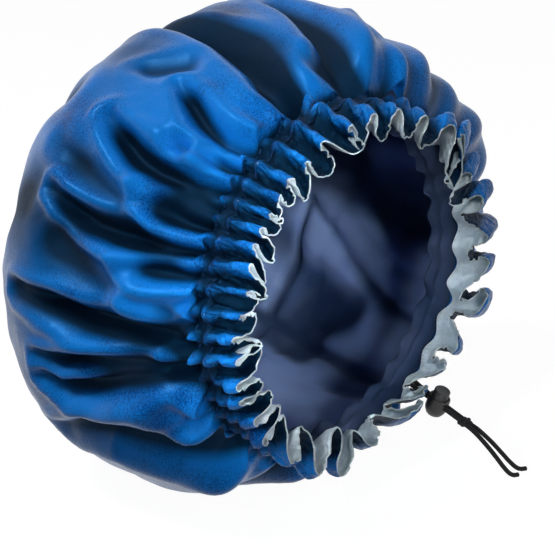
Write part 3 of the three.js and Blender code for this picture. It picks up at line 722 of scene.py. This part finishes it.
def crown_guide(theta, m):
    """Points of the crown's outer face, for grids of turn and distance from the casing."""
    radius = np.interp(m, PLACES, PLACE_RADIUS)
    x = m / WIDEST
    swell = by_turn(theta, *zip(*SWELLS)) * MM
    swell = swell * smooth(0, 0.38, x) * (1 - smooth(1.0, 2.1, x))
    fade = smooth(0.0, 0.17, x) * (1 - smooth(2.2, 2.7, x))
    deepened = [(FOLD_GAIN * depth, half, rim, route) for depth, half, rim, route in FOLDS + BACK_FOLDS]
    fold = fold_field(theta, m, np.maximum(radius, LEAST_RADIUS), deepened) * fade
    wave = gather_wave(theta)
    reach = 0.34 + 0.14 * np.sin(9 * theta + 2 * np.sin(5 * theta))
    gather = GATHER_DEPTH * (wave + OUTWARDS) * (1 - smooth(0.02, reach, x))
    ripple = RIPPLE * wave * smooth(0, 0.08, x) * (1 - smooth(0.1, 0.1 + 1.3 * reach, x))
    tuck = TUCK * np.exp(-((np.degrees(theta) % 360 - TUCK_DEGREES) / TUCK_HALF) ** 2)
    tuck = tuck * smooth(0, 0.15, x) * (1 - smooth(0.25, 1.0, x))
    r = radius + swell + fold + gather + ripple + slack_waves(theta, m) - tuck
    y = np.interp(m, PLACES, PLACE_Y) - LEAN * np.maximum(0, swell) * (1 - smooth(0.4, 1.0, x))
    y = y - BULGE * (0.6 + 0.4 * wave) * smooth(0.03, 0.14, x) * (1 - smooth(0.16, 0.5, x))
    r = np.where(radius < 1e-6, 0, r)
    return around(r, theta, y, AXIS_HEIGHT - np.interp(m, PLACES, PLACE_DROP))


def ring_counts(places, most, rows_apart):
    """How many points each ring has: halved wherever they would crowd."""
    counts = []
    now = most
    for m in places:
        r = float(np.interp(m, PLACES, PLACE_RADIUS))
        while now > FEWEST_COLUMNS and TURN * r / now < 0.42 * rows_apart:
            now //= 2
        counts.append(now)
    return counts


def ring_faces(counts):
    """Faces between rings whose point counts are equal or halve, and a fan to the last point."""
    faces, start = [], 0
    for n, after in zip(counts, counts[1:]):
        low = start + n
        for i in range(after):
            if n == after:
                j = (i + 1) % n
                faces.append((start + i, start + j, low + j, low + i))
            else:
                a, b, c = 2 * i, 2 * i + 1, (2 * i + 2) % n
                k = (i + 1) % after
                faces.append((start + a, start + b, low + i))
                faces.append((start + b, low + k, low + i))
                faces.append((start + b, start + c, low + k))
        start = low
    n = counts[-1]
    for i in range(n):
        faces.append((start + i, start + (i + 1) % n, start + n))
    return faces


def crown_sim():
    """The crown's cloth, a little too large for its guide, puffed and wrinkled by a simulation.
    Returns one array of points for each ring."""
    places = places_along(SIM_ROWS)[:-1]
    counts = ring_counts(places, SIM_COLUMNS, SIM_SPACING)
    rings = []
    for m, n in zip(places, counts):
        theta = np.arange(n) / n * TURN
        rings.append(crown_guide(theta, np.full(n, m)))
    points = np.vstack([*rings, crown_guide(np.zeros(1), PLACES[-1:])])
    points = simulate(points, ring_faces(counts), counts[0], **CROWN_SIMULATION)
    return np.split(points, np.cumsum(counts))


def simulate(points, faces, held, frames, goal, spare, stiffness, bending, pressure, cap, apart):
    """Lets a cloth relax: its first points are held, it is larger than its guide by the spare share, and
    the rest are drawn softly to where they start. No point moves further than the cap."""
    mesh = bpy.data.meshes.new("cloth_trial")
    mesh.from_pydata(points.tolist(), [], faces)
    obj = shown("cloth_trial", mesh)
    obj.shape_key_add(name="Basis")
    rest = obj.shape_key_add(name="rest")
    rest.data.foreach_set("co", (points * (1 + spare)).ravel())
    rest.value = 0
    group = obj.vertex_groups.new(name="held")
    group.add(list(range(held, len(points))), goal, "REPLACE")
    group.add(list(range(held)), 1.0, "REPLACE")
    modifier = obj.modifiers.new("Cloth", "CLOTH")
    settings = dict(
        quality=5, mass=0.1, tension_stiffness=stiffness, compression_stiffness=stiffness,
        shear_stiffness=stiffness / 3, bending_model="ANGULAR", bending_stiffness=bending,
        bending_damping=0.5, air_damping=1, use_pressure=pressure > 0, uniform_pressure_force=pressure,
        vertex_group_mass="held", pin_stiffness=1, rest_shape_key=rest)
    for key, value in settings.items():
        setattr(modifier.settings, key, value)
    modifier.settings.effector_weights.gravity = 0
    modifier.collision_settings.use_collision = False
    modifier.collision_settings.use_self_collision = apart > 0
    if apart > 0:
        modifier.collision_settings.self_distance_min = apart
    modifier.point_cache.frame_start = 1
    modifier.point_cache.frame_end = frames
    scene = bpy.context.scene
    for number in range(1, frames + 1):
        scene.frame_set(number)
    graph = bpy.context.evaluated_depsgraph_get()
    moved = np.zeros(len(points) * 3)
    obj.evaluated_get(graph).data.vertices.foreach_get("co", moved)
    bpy.data.objects.remove(obj)
    scene.frame_set(1)
    step = moved.reshape(-1, 3) - points
    far = np.linalg.norm(step, axis=1)
    return points + step * np.minimum(1, cap / np.maximum(far, 1e-9))[:, None]


def resample(rings, places, columns, wanted):
    """The rings as an even grid: columns round and wanted places along, both smooth."""
    wide = []
    for ring in rings[:-1]:
        n = len(ring)
        freq = np.fft.rfft(ring, axis=0)
        full = np.zeros((columns // 2 + 1, 3), complex)
        k = min(len(freq), len(full))
        full[:k] = freq[:k]
        wide.append(np.fft.irfft(full, n=columns, axis=0) * columns / n)
    wide.append(np.repeat(rings[-1], columns, axis=0))
    wide = np.array(wide)
    i = np.clip(np.searchsorted(places, wanted, side="right") - 1, 0, len(places) - 2)
    t = ((wanted - places[i]) / (places[i + 1] - places[i]))[:, None, None]
    return between(*(wide[np.clip(i + k, 0, len(places) - 1)] for k in (-1, 0, 1, 2)), t)


THETA = np.arange(GRID_COLUMNS) / GRID_COLUMNS * TURN


def pinch(t):
    """How much of the gathers' depth is left where the cord draws the casing in, from its front at 0 to its
    rear at 1."""
    return 1 - 0.65 * np.exp(-((t - 0.5) / 0.22) ** 2)


def casing_rows(layer_radius, depth, outwards):
    """The casing's wall in front of the crown, gathered. Its front edge meets the frill."""
    rows = []
    for k in range(CASING_ROWS):
        t = k / CASING_ROWS
        bulge = CASING_BULGE * math.sin(math.pi * t)
        skew = 0.02 * math.sin(math.pi * t) * np.sin(9 * THETA + 2 * np.sin(4 * THETA))
        gathers = depth * (gather_wave(THETA + skew) + outwards) * pinch(t)
        r = layer_radius - CASING_SINK + bulge + gathers
        if layer_radius < WALL_RADIUS:
            front = WALL_RADIUS - CASING_FRONT_SINK + GATHER_DEPTH * (gather_wave(THETA) + OUTWARDS)
            r += (front - r) * (1 - smooth(0, 0.3, t))
        rows.append(around(r, THETA, -CASING_FORWARD - CASING_HALF + 2 * CASING_HALF * t))
    return rows


def disc_piece(name, rows, counts, material, node, slot, outwards=1):
    """A cloth from the casing's front edge to the crown's closed end. Its relief, which its satin turns into
    painted shade and highlight, shows on its outer side, or with outwards at -1 on its inner side. Its
    casing rows are marked lower, as painted shade."""
    grid = np.array(rows)
    radius = np.linalg.norm((grid - grid.mean(1, keepdims=True))[:, :, [0, 2]], axis=2)
    height = outwards * (radius - broad(radius, *CROWN_WINDOW)) / CROWN_RELIEF
    # Painted shade: the casing's rows are marked lower, so the satin there is painted darker
    height -= CASING_SHADE * (1 - smooth(CASING_ROWS, CASING_ROWS + 12, np.arange(len(height))))[:, None]
    # Painted shade: the lining's casing is marked as a full valley, painted darkest
    if outwards < 0:
        height[:CASING_ROWS] = -1
    points, relief, crinkled = [], [], []
    for k, (row, level, n) in enumerate(zip(grid, height, counts)):
        points.append(row[:: GRID_COLUMNS // n])
        relief.append(level[:: GRID_COLUMNS // n])
        crinkled.append(np.full(n, 1 - 0.9 * smooth(CASING_ROWS, CASING_ROWS + 14, k)))
    points.append(grid[-1].mean(0, keepdims=True))
    relief.append(np.zeros(1))
    crinkled.append(np.zeros(1))
    obj = piece(name, np.vstack(points), ring_faces(counts), material, node, slot)
    set_relief(obj, np.concatenate(relief), np.concatenate(crinkled))
    thicken(obj, CROWN_CLOTH_THICKNESS, -1)
    return obj


def floor_press(points):
    """Presses what would pass the table flat against it, with a soft edge."""
    z = points[..., 2]
    start = FLOOR_CLEARANCE + FLOOR_SOFTNESS
    low = FLOOR_CLEARANCE + FLOOR_SOFTNESS * np.exp(np.minimum(0, z - start) / FLOOR_SOFTNESS)
    points[..., 2] = np.where(z < start, low, z)
    return points


def crown():
    wanted = places_along(GRID_ROWS)
    grid = resample(crown_sim(), places_along(SIM_ROWS), GRID_COLUMNS, wanted)
    turns, along = np.meshgrid(THETA, wanted)
    moved = grid - crown_guide(turns, along)
    # The simulation's broad sag goes and its wrinkles stay
    sag = np.stack([broad(moved[:, :, k], *CROWN_WINDOW) for k in range(3)], axis=2)
    grid = floor_press(grid - SAG_REMOVED * sag)
    counts = [GRID_COLUMNS] * CASING_ROWS + ring_counts(wanted[:-1], GRID_COLUMNS, GRID_SPACING)
    rows = [*casing_rows(WALL_RADIUS, GATHER_DEPTH, OUTWARDS), *grid]
    shell = disc_piece("crown_satin", rows, counts, BLUE, "outer_shell", "satin_blue")
    depth = LINING_GATHER_SHARE * GATHER_DEPTH
    casing = casing_rows(WALL_RADIUS - CASING_LAYERS_APART, depth, -OUTWARDS)
    rows = [*casing, *lining(grid, wanted)]
    inner = disc_piece("crown_lining_satin", rows, counts, SLATE, "crown_lining", "satin_slate", -1)
    return shell, inner


def lining(grid, wanted):
    """The lining hangs inside the crown: it passes the small wrinkles and follows the broad folds."""
    level = AXIS_HEIGHT - np.interp(wanted, PLACES, PLACE_DROP)[:, None]
    radius = np.hypot(grid[:, :, 0], grid[:, :, 2] - level)
    near = range(-LINING_REACH, LINING_REACH + 1)
    least = radius.copy()
    for k in near:
        least = np.minimum(least, np.roll(radius, k, axis=1))
    follow = sum(w * np.roll(least, k, axis=1) for k, w in zip(near, window(LINING_REACH)))
    follow = smooth_rows(follow, 3)
    x = wanted / WIDEST
    start = 1 - smooth(0, 0.25, x)[:, None]
    gathers = GATHER_DEPTH * LINING_GATHER_SHARE * (gather_wave(THETA) - OUTWARDS)
    wall = WALL_RADIUS - LINING_ROOT + gathers[None, :] * start
    inside = wall * start + (follow - LINING_CLEARANCE) * (1 - start)
    folds = [(height, half, 0, route) for height, half, route in LINING_FOLDS]
    turns, along = np.meshgrid(THETA, wanted)
    drape = -LINING_HANG + fold_field(turns, along, np.maximum(radius, LEAST_RADIUS), folds)
    inside += drape * (smooth(0.1, 0.6, x) * (1 - smooth(2.1, 2.7, x)))[:, None]
    inside = np.minimum(inside, np.maximum(0, radius - LEAST_CLEARANCE))
    y = 0.3 * grid[:, :, 1] + 0.7 * grid[:, :, 1].mean(1, keepdims=True)
    out = around(inside, THETA, y - LINING_SHORTER * smooth(1.2, 2.2, x)[:, None], level)
    out[:, :, 2] = np.maximum(out[:, :, 2], LINING_CLEARANCE)
    return out


# Frill
def by_direction(theta, values):
    return by_turn(theta, FRILL_DEGREES, values)


def pleat_wave(outward_share, square, s):
    """How a pleat's heading swings, from 1 to -1 and back: its outward loop takes the given share, and the
    squarer it is, the straighter are its sides."""
    back = 0.5 + 0.5 * (s - outward_share) / (1 - outward_share)
    half = np.where(s < outward_share, 0.5 * s / outward_share, back)
    return np.tanh(square * np.cos(TURN * half)) / math.tanh(square)


def pleat_bend(wave, slope):
    """The greatest heading that gives a pleat the wanted swing for its width."""
    bends = np.radians(np.arange(30, 120, 2))
    slopes = [np.ptp(np.cumsum(np.sin(bend * wave))) / np.cos(bend * wave).sum() for bend in bends]
    return np.interp(slope, slopes, bends)


def pleat_values():
    widths = np.diff([*PLEAT_STARTS, 360]) / 360
    middles = np.radians(PLEAT_STARTS) + widths * TURN / 2
    swings = by_direction(middles, FRILL_SWINGS) * rng.uniform(*SWING_RANGE, PLEATS) * MM
    shares = by_direction(middles, OUTWARD_SHARES) + rng.uniform(-SHARE_CHANGE, SHARE_CHANGE, PLEATS)
    shares = np.clip(shares, *SHARE_LIMITS)
    leans = by_direction(middles, LEANS) + rng.uniform(-LEAN_CHANGE, LEAN_CHANGE, PLEATS)
    flares = rng.uniform(-FLARE_CHANGE, FLARE_CHANGE, PLEATS) * MM
    tips = rng.uniform(-TIP_CHANGE, TIP_CHANGE, PLEATS) * MM
    return widths, swings, shares, leans, flares, tips


def soft_between(values, share, k):
    """A value for each pleat, which passes smoothly into its neighbours' at the ends."""
    here, before, after = values[k], values[k - 1], values[(k + 1) % PLEATS]
    return np.where(share < 0.5, here * (0.5 + share) + before * (0.5 - share),
                    here * (1.5 - share) + after * (share - 0.5))


def crumple(even, t):
    """Small uneven waves of the cloth, which grow towards its edge."""
    turn = even * TURN
    return CRUMPLE * sum(np.sin(k * turn + 2 * np.sin(5 * turn + k)) for k in (41, 67)) * t


def pleat_columns():
    """For each column of the frill, its even and its pleated place as shares of a turn, how far its pleat
    swings it out, and its pleat's lean, flare and tip."""
    widths, swings, shares, leans, flares, tips = pleat_values()
    start = np.concatenate([[0], np.cumsum(widths)])
    fine = FINE_STEPS * PLEAT_STEPS
    s = (np.arange(fine) + 0.5) / fine
    squares = by_direction((start[:-1] + widths / 2) * TURN, SQUARES)
    waves = [pleat_wave(share, square, s) for share, square in zip(shares, squares)]
    slopes = 2 * swings / (widths * TURN * CASING_RADIUS)
    bends = np.array([pleat_bend(wave, slope) for wave, slope in zip(waves, slopes)])
    share = np.arange(PLEAT_STEPS) / PLEAT_STEPS
    pick = np.arange(PLEAT_STEPS) * FINE_STEPS
    columns = []
    for k in range(PLEATS):
        heading = soft_between(bends, s, k) * waves[k]
        along = np.concatenate([[0], np.cumsum(np.cos(heading))])
        out = np.concatenate([[0], np.cumsum(np.sin(heading))])
        out = out - np.linspace(0, 1, fine + 1) * out[-1]
        columns.append([start[k] + widths[k] * share, start[k] + widths[k] * along[pick] / along[-1],
                        out[pick] * 2 * swings[k] / np.ptp(out),
                        *(soft_between(values, share, k) for values in (leans, flares, tips))])
    return np.concatenate(columns, axis=1)


def frill_grid():
    """Points of the frill's middle surface: rows from the casing to the edge, columns round it."""
    even, along, out, lean, flare, tip = pleat_columns()
    delay = by_direction(even * TURN, DELAYS)
    rows = []
    for j in range(FRILL_ROWS):
        t = j / (FRILL_ROWS - 1)
        full = 0.06 + 0.94 * smooth(-0.1 + delay, 0.75 + 0.8 * delay, t)
        theta = (even + (along - even) * full + lean * out / (TURN * CASING_RADIUS) * full * t) * TURN
        wave = (gather_wave(theta) + OUTWARDS) * GATHER_DEPTH * (1 - smooth(0, 0.35, t))
        root = (WALL_RADIUS - FRILL_LAYER - CASING_RADIUS) * (1 - smooth(0, 0.5, t))
        swing = out + by_direction(theta, FRILL_SWINGS) * (1 - 2 * by_direction(theta, OUTWARD_SHARES)) * MM
        middle = by_direction(theta, FRILL_MIDDLES) * MM * t
        belly = by_direction(theta, BELLIES) * MM * math.sin(math.pi * t ** 0.8)
        r = CASING_RADIUS + root + swing * full + wave + flare * t * t + middle + crumple(even, t)
        r = r + belly * (0.6 + 0.4 * np.clip(swing / FULL_SWING, 0, 1))
        curl = FRILL_CURL * t ** 2 * np.abs(out) / np.abs(out).max()
        y = -(FRILL_START + (FRILL_END - FRILL_START) * t) + tip * t + curl
        rows.append(around(r, theta, y))
    grid = np.array(rows)
    faces = band_faces(*grid.shape[:2])
    grid = simulate(grid.reshape(-1, 3), faces, grid.shape[1], **FRILL_SIMULATION).reshape(grid.shape)
    return grid


def outward_normals(grid):
    across = np.roll(grid, -1, axis=1) - np.roll(grid, 1, axis=1)
    normal = np.cross(across, np.gradient(grid, axis=0))
    normal /= np.maximum(np.linalg.norm(normal, axis=2, keepdims=True), 1e-12)
    outward = (grid[0] - np.array([0, 0, AXIS_HEIGHT])) * np.array([1, 0, 1])
    return normal if (normal[0] * outward).sum() >= 0 else -normal


def band_faces(rows, columns):
    faces = []
    for j in range(rows - 1):
        for i in range(columns):
            k = (i + 1) % columns
            faces.append((j * columns + i, j * columns + k, (j + 1) * columns + k, (j + 1) * columns + i))
    return faces


def frill():
    """The blue band, its pale facing and the thread along their edge, and how long that edge is."""
    grid = frill_grid()
    shift = outward_normals(grid) * FRILL_LAYER
    faces = band_faces(*grid.shape[:2])
    radius = np.hypot(grid[:, :, 0], grid[:, :, 2] - AXIS_HEIGHT)
    height = (radius - broad(radius, *FRILL_WINDOW)) / FRILL_RELIEF
    bands = []
    for name, node, slot, material, sign, shade in (
            ("frill_satin", "frill_outer", "satin_blue", BLUE, 1, FRILL_SHADE),
            ("frill_facing_satin", "frill_facing", "satin_pale", PALE, -1, 0)):
        obj = piece(name, (grid + sign * shift).reshape(-1, 3), faces, material, node, slot)
        # Painted shade: the blue band's relief is lowered by its shade share, so its satin is painted
        # darker; the facing's is not
        set_relief(obj, height * sign - shade, np.ones(height.shape))
        thicken(obj, FRILL_CLOTH_THICKNESS, 0)
        bands.append(obj)
    last = grid[-1] - grid[-2]
    edge = grid[-1] + last / np.linalg.norm(last, axis=1)[:, None] * FRILL_LAYER
    hem = piece("frill_hem_thread", *tube_mesh(edge, HEM_RADIUS, 8, closed=True), HEM, "frill_hem",
                "thread_pale")
    length = float(np.linalg.norm(grid[-1] - np.roll(grid[-1], 1, axis=0), axis=1).sum())
    return bands, hem, length


def stitches(name, node, y):
    """A row of stitches round the casing."""
    share = (y + CASING_FORWARD + CASING_HALF) / (2 * CASING_HALF)
    lines = []
    for i in range(STITCHES):
        a = np.linspace((i + 0.12) / STITCHES * TURN, (i + 0.78) / STITCHES * TURN, len(STITCH_LIFTS))
        r = WALL_RADIUS + STITCH_STAND + GATHER_DEPTH * (gather_wave(a) + OUTWARDS) * pinch(share)
        lines.append((around(r + np.array(STITCH_LIFTS) * MM, a, y), STITCH_RADIUS))
    piece(name, *tubes(lines, 6), THREAD, node, "thread_blue")


# Cords
EXIT_ANGLE = math.radians(EXIT_DEGREES)
EXIT_OUT = np.array([math.cos(EXIT_ANGLE), 0, math.sin(EXIT_ANGLE)])
EXIT_SIDE = np.array([-math.sin(EXIT_ANGLE), 0, math.cos(EXIT_ANGLE)])
CASING_CENTRE = np.array([0, -CASING_FORWARD, AXIS_HEIGHT])
LOCK_CENTRE = np.array(PAIR_ROUTE[LOCK_PLACE]) * MM
HEADING = unit(np.array(PAIR_ROUTE[LOCK_PLACE + 1]) - np.array(PAIR_ROUTE[LOCK_PLACE - 1]))
LOCK_AXIS = unit(np.array([0, 0, 1]) - HEADING * HEADING[2])
LOCK_SIDE = np.cross(LOCK_AXIS, HEADING)
LOCK_OTHER = np.cross(LOCK_AXIS, LOCK_SIDE)


def strand_route(side):
    """One strand: out of the casing, round to the exit, and beside the other through the lock."""
    centre = EXIT_OUT * CASING_RADIUS + CASING_CENTRE
    points = []
    for across, out in EXIT_TURN:
        points.append(centre + EXIT_SIDE * side * across * MM + EXIT_OUT * out * MM)
    for place, share in zip(PAIR_ROUTE[1:], PAIR_TURN_SHARES[1:]):
        turn = unit(EXIT_SIDE * (1 - share) + LOCK_SIDE * share * np.sign(LOCK_SIDE @ EXIT_SIDE))
        points.append(np.array(place) * MM + turn * side * (CORD_RADIUS + PAIR_GAP / 2))
    return points


def cord_piece(node, route, count):
    """A length of cord, its points and how long it is."""
    points = curve_points(route, count)
    curve = bpy.data.curves.new(node + "_braid", "CURVE")
    curve.dimensions = "3D"
    spline = curve.splines.new("POLY")
    spline.points.add(len(points) - 1)
    for spot, p in zip(spline.points, points):
        spot.co = (*p, 1)
    curve.bevel_depth = CORD_RADIUS
    curve.bevel_resolution = 5
    curve.use_fill_caps = True
    curve.materials.append(ELASTIC)
    obj = shown(node + "_braid", curve)
    stand_for(obj, node, "bonnet")
    return obj, points, float(np.linalg.norm(np.diff(points, axis=0), axis=1).sum())


def knot(entries, exits):
    """An overhand knot in the doubled cord: both cords run on through it, wrapped by their own turns."""
    middle = (sum(entries) + sum(exits)) / 4
    heading = unit(sum(exits) - sum(entries))
    up = unit(np.array([0, 0, 1]) - heading * heading[2])
    side = np.cross(up, heading)
    s = np.linspace(0, 1, 140)
    a = KNOT_TURNS * TURN * s
    reach = KNOT_REACH * np.sin(math.pi * s) ** 0.3
    x = (s - 0.5) * KNOT_LENGTH + KNOT_SLANT * np.sin(a + 0.6)
    wrap = (middle + heading * x[:, None] + side * (np.cos(a) * reach)[:, None]
            + up * (np.sin(a) * reach)[:, None])
    lines = [(wrap, 0.95 * CORD_RADIUS)]
    for near, far in zip(entries, exits):
        lines.append((near + (far - near) * np.linspace(0, 1, 12)[:, None], 0.98 * CORD_RADIUS))
    return piece("knotted_cord", *tubes(lines, 12), ELASTIC, "cord_knot", "elastic_black")


def cords():
    pairs = []
    for name, side, tail in (("a", 1, TAIL_A), ("b", -1, TAIL_B)):
        pairs.append((cord_piece("cord_strand_" + name, strand_route(side), STRAND_POINTS),
                      cord_piece("cord_tail_" + name, np.array(tail) * MM, TAIL_POINTS)))
    tied = knot([strand[1][-1] for strand, tail in pairs], [tail[1][0] for strand, tail in pairs])


def drawcord():
    """The cord's ring inside the casing, open at its exit."""
    gap = RING_GAP / CASING_RADIUS
    a = np.linspace(EXIT_ANGLE + gap, EXIT_ANGLE + TURN - gap, RING_POINTS)
    line = around(CASING_RADIUS, a, -CASING_FORWARD)
    piece("drawcord_braid", *tube_mesh(line, CORD_RADIUS, 10), ELASTIC, "drawcord_ring", "elastic_black")


def buttonhole():
    """The sewn edge of the cord's exit: two half rounds and the straights between them."""
    a = np.linspace(0, TURN, 64, endpoint=False)
    x = np.cos(a) * HOLE_RADIUS + np.sign(np.cos(a)) * HOLE_HALF
    z = np.sin(a) * HOLE_RADIUS
    line = (EXIT_OUT * (WALL_RADIUS + HOLE_LIFT) + CASING_CENTRE + EXIT_SIDE * x[:, None]
            + np.array([0, -1, 0]) * z[:, None] - EXIT_OUT * ((x ** 2) / (2 * WALL_RADIUS))[:, None])
    piece("buttonhole_stitch", *tube_mesh(line, HOLE_THREAD, 8, closed=True), THREAD, "cord_buttonhole",
          "thread_blue")


# Cord lock
def turned(*stretches):
    """A body turned round the lock's axis. Each stretch of its outline is a start and, from it, radius and
    height in millimetres."""
    a = np.arange(LOCK_SIDES) / LOCK_SIDES * TURN
    ring = LOCK_SIDE[None, :] * np.cos(a)[:, None] + LOCK_OTHER[None, :] * np.sin(a)[:, None]
    outline = [(r * MM, start + h * MM) for start, points in stretches for r, h in points]
    v = [point for r, h in outline for point in LOCK_CENTRE + LOCK_AXIS * h + ring * r]
    faces = []
    for i in range(len(outline) - 1):
        for j in range(LOCK_SIDES):
            here, after = i * LOCK_SIDES, (i + 1) * LOCK_SIDES
            k = (j + 1) % LOCK_SIDES
            faces.append((here + j, here + k, after + k, after + j))
    last = (len(outline) - 1) * LOCK_SIDES
    faces.append(tuple(range(LOCK_SIDES))[::-1])
    faces.append(tuple(last + j for j in range(LOCK_SIDES)))
    return v, faces


def lock():
    """The cord lock: a barrel with a rounded foot, a push button and the coil spring under it."""
    barrel = turned((BARREL_FOOT, BARREL_OUTSIDE), (BARREL_RIM, BARREL_LIP), (BARREL_FOOT, BARREL_WELL))
    button = turned((BARREL_FOOT, BUTTON_FOOT), (BARREL_RIM, BUTTON_SIDE), (BUTTON_TOP, BUTTON_CAP))
    piece("lock_barrel_body", *barrel, PLASTIC, "lock_barrel", "plastic_black", "lock")
    piece("lock_button", *button, PLASTIC_WORN, "lock_plunger", "plastic_black", "plunger")
    turns = np.linspace(0, SPRING_TURNS, 100)
    a = turns * TURN
    height = SPRING_START + SPRING_LENGTH * turns / SPRING_TURNS
    line = (LOCK_CENTRE + LOCK_SIDE * (np.cos(a) * SPRING_RADIUS)[:, None]
            + LOCK_OTHER * (np.sin(a) * SPRING_RADIUS)[:, None] + LOCK_AXIS * height[:, None])
    spring = piece("lock_coil_spring", *tube_mesh(line, SPRING_WIRE, 8), STEEL, "lock_spring",
                   "spring_steel", "lock")
    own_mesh(spring)


# Stage
def seen_rays(owner):
    """1 for the rays that show the background: those of the camera, gloss and glass."""
    path = add(owner, "ShaderNodeLightPath")
    seen = path.outputs["Is Camera Ray"]
    for kind in ("Is Glossy Ray", "Is Transmission Ray"):
        seen = worked_out(owner, "MAXIMUM", seen, path.outputs[kind])
    return seen


def stage():
    mesh = bpy.data.meshes.new("floor")
    corners = [(x * FLOOR_REACH, y * FLOOR_REACH, 0) for x, y in ((-1, -1), (1, -1), (1, 1), (-1, 1))]
    mesh.from_pydata(corners, [], [(0, 1, 2, 3)])
    material, node = shader("floor_white", FLOOR_COLOUR, 0.9, 0.0)
    glow = ranged(material, seen_rays(material), (0.0, 1.0), (0.0, FLOOR_GLOW))
    node.inputs["Emission Color"].default_value = (1, 1, 1, 1)
    join(material, glow, node.inputs["Emission Strength"])
    mesh.materials.append(material)
    shown("floor", mesh)
    world = bpy.data.worlds.new("studio")
    bpy.context.scene.world = world
    world.use_nodes = True
    background = world.node_tree.nodes["Background"]
    level = ranged(world, seen_rays(world), (0.0, 1.0), (WORLD_LIGHT, 1.0))
    join(world, level, background.inputs["Strength"])
    background.inputs["Color"].default_value = (1, 1, 1, 1)


def lamp(name, place, size, power, target, spread):
    data = bpy.data.lights.new(name, "AREA")
    data.energy = power
    data.size = size
    data.spread = math.radians(spread)
    obj = shown(name, data)
    obj.location = place
    obj.rotation_euler = (Vector(place) - Vector(target)).to_track_quat("Z", "Y").to_euler()


def camera():
    azimuth, elevation = math.radians(CAMERA_AZIMUTH), math.radians(CAMERA_ELEVATION)
    back = Vector((math.sin(azimuth) * math.cos(elevation),
                   -math.cos(azimuth) * math.cos(elevation), math.sin(elevation)))
    data = bpy.data.cameras.new("camera")
    obj = shown("camera", data)
    obj.location = Vector(CAMERA_TARGET) + back * CAMERA_DISTANCE
    obj.rotation_euler = back.to_track_quat("Z", "Y").to_euler()
    data.sensor_width = 36
    data.lens = CAMERA_LENS
    data.shift_x, data.shift_y = CAMERA_SHIFT
    data.clip_start, data.clip_end = 0.05, 30
    bpy.context.scene.camera = obj


bpy.context.scene.view_settings.view_transform = "Standard"
camera()
stage()
for values in LAMPS:
    lamp(*values)
cords()
lock()
drawcord()
buttonhole()
frill_bands, hem, HEM_LENGTH = frill()
stitches("casing_stitches_rear", "casing_stitch_rear", -CASING_FORWARD + CASING_HALF - STITCH_INSET)
stitches("casing_stitches_front", "casing_stitch_front", -CASING_FORWARD - CASING_HALF + STITCH_INSET)
crown_parts = crown()
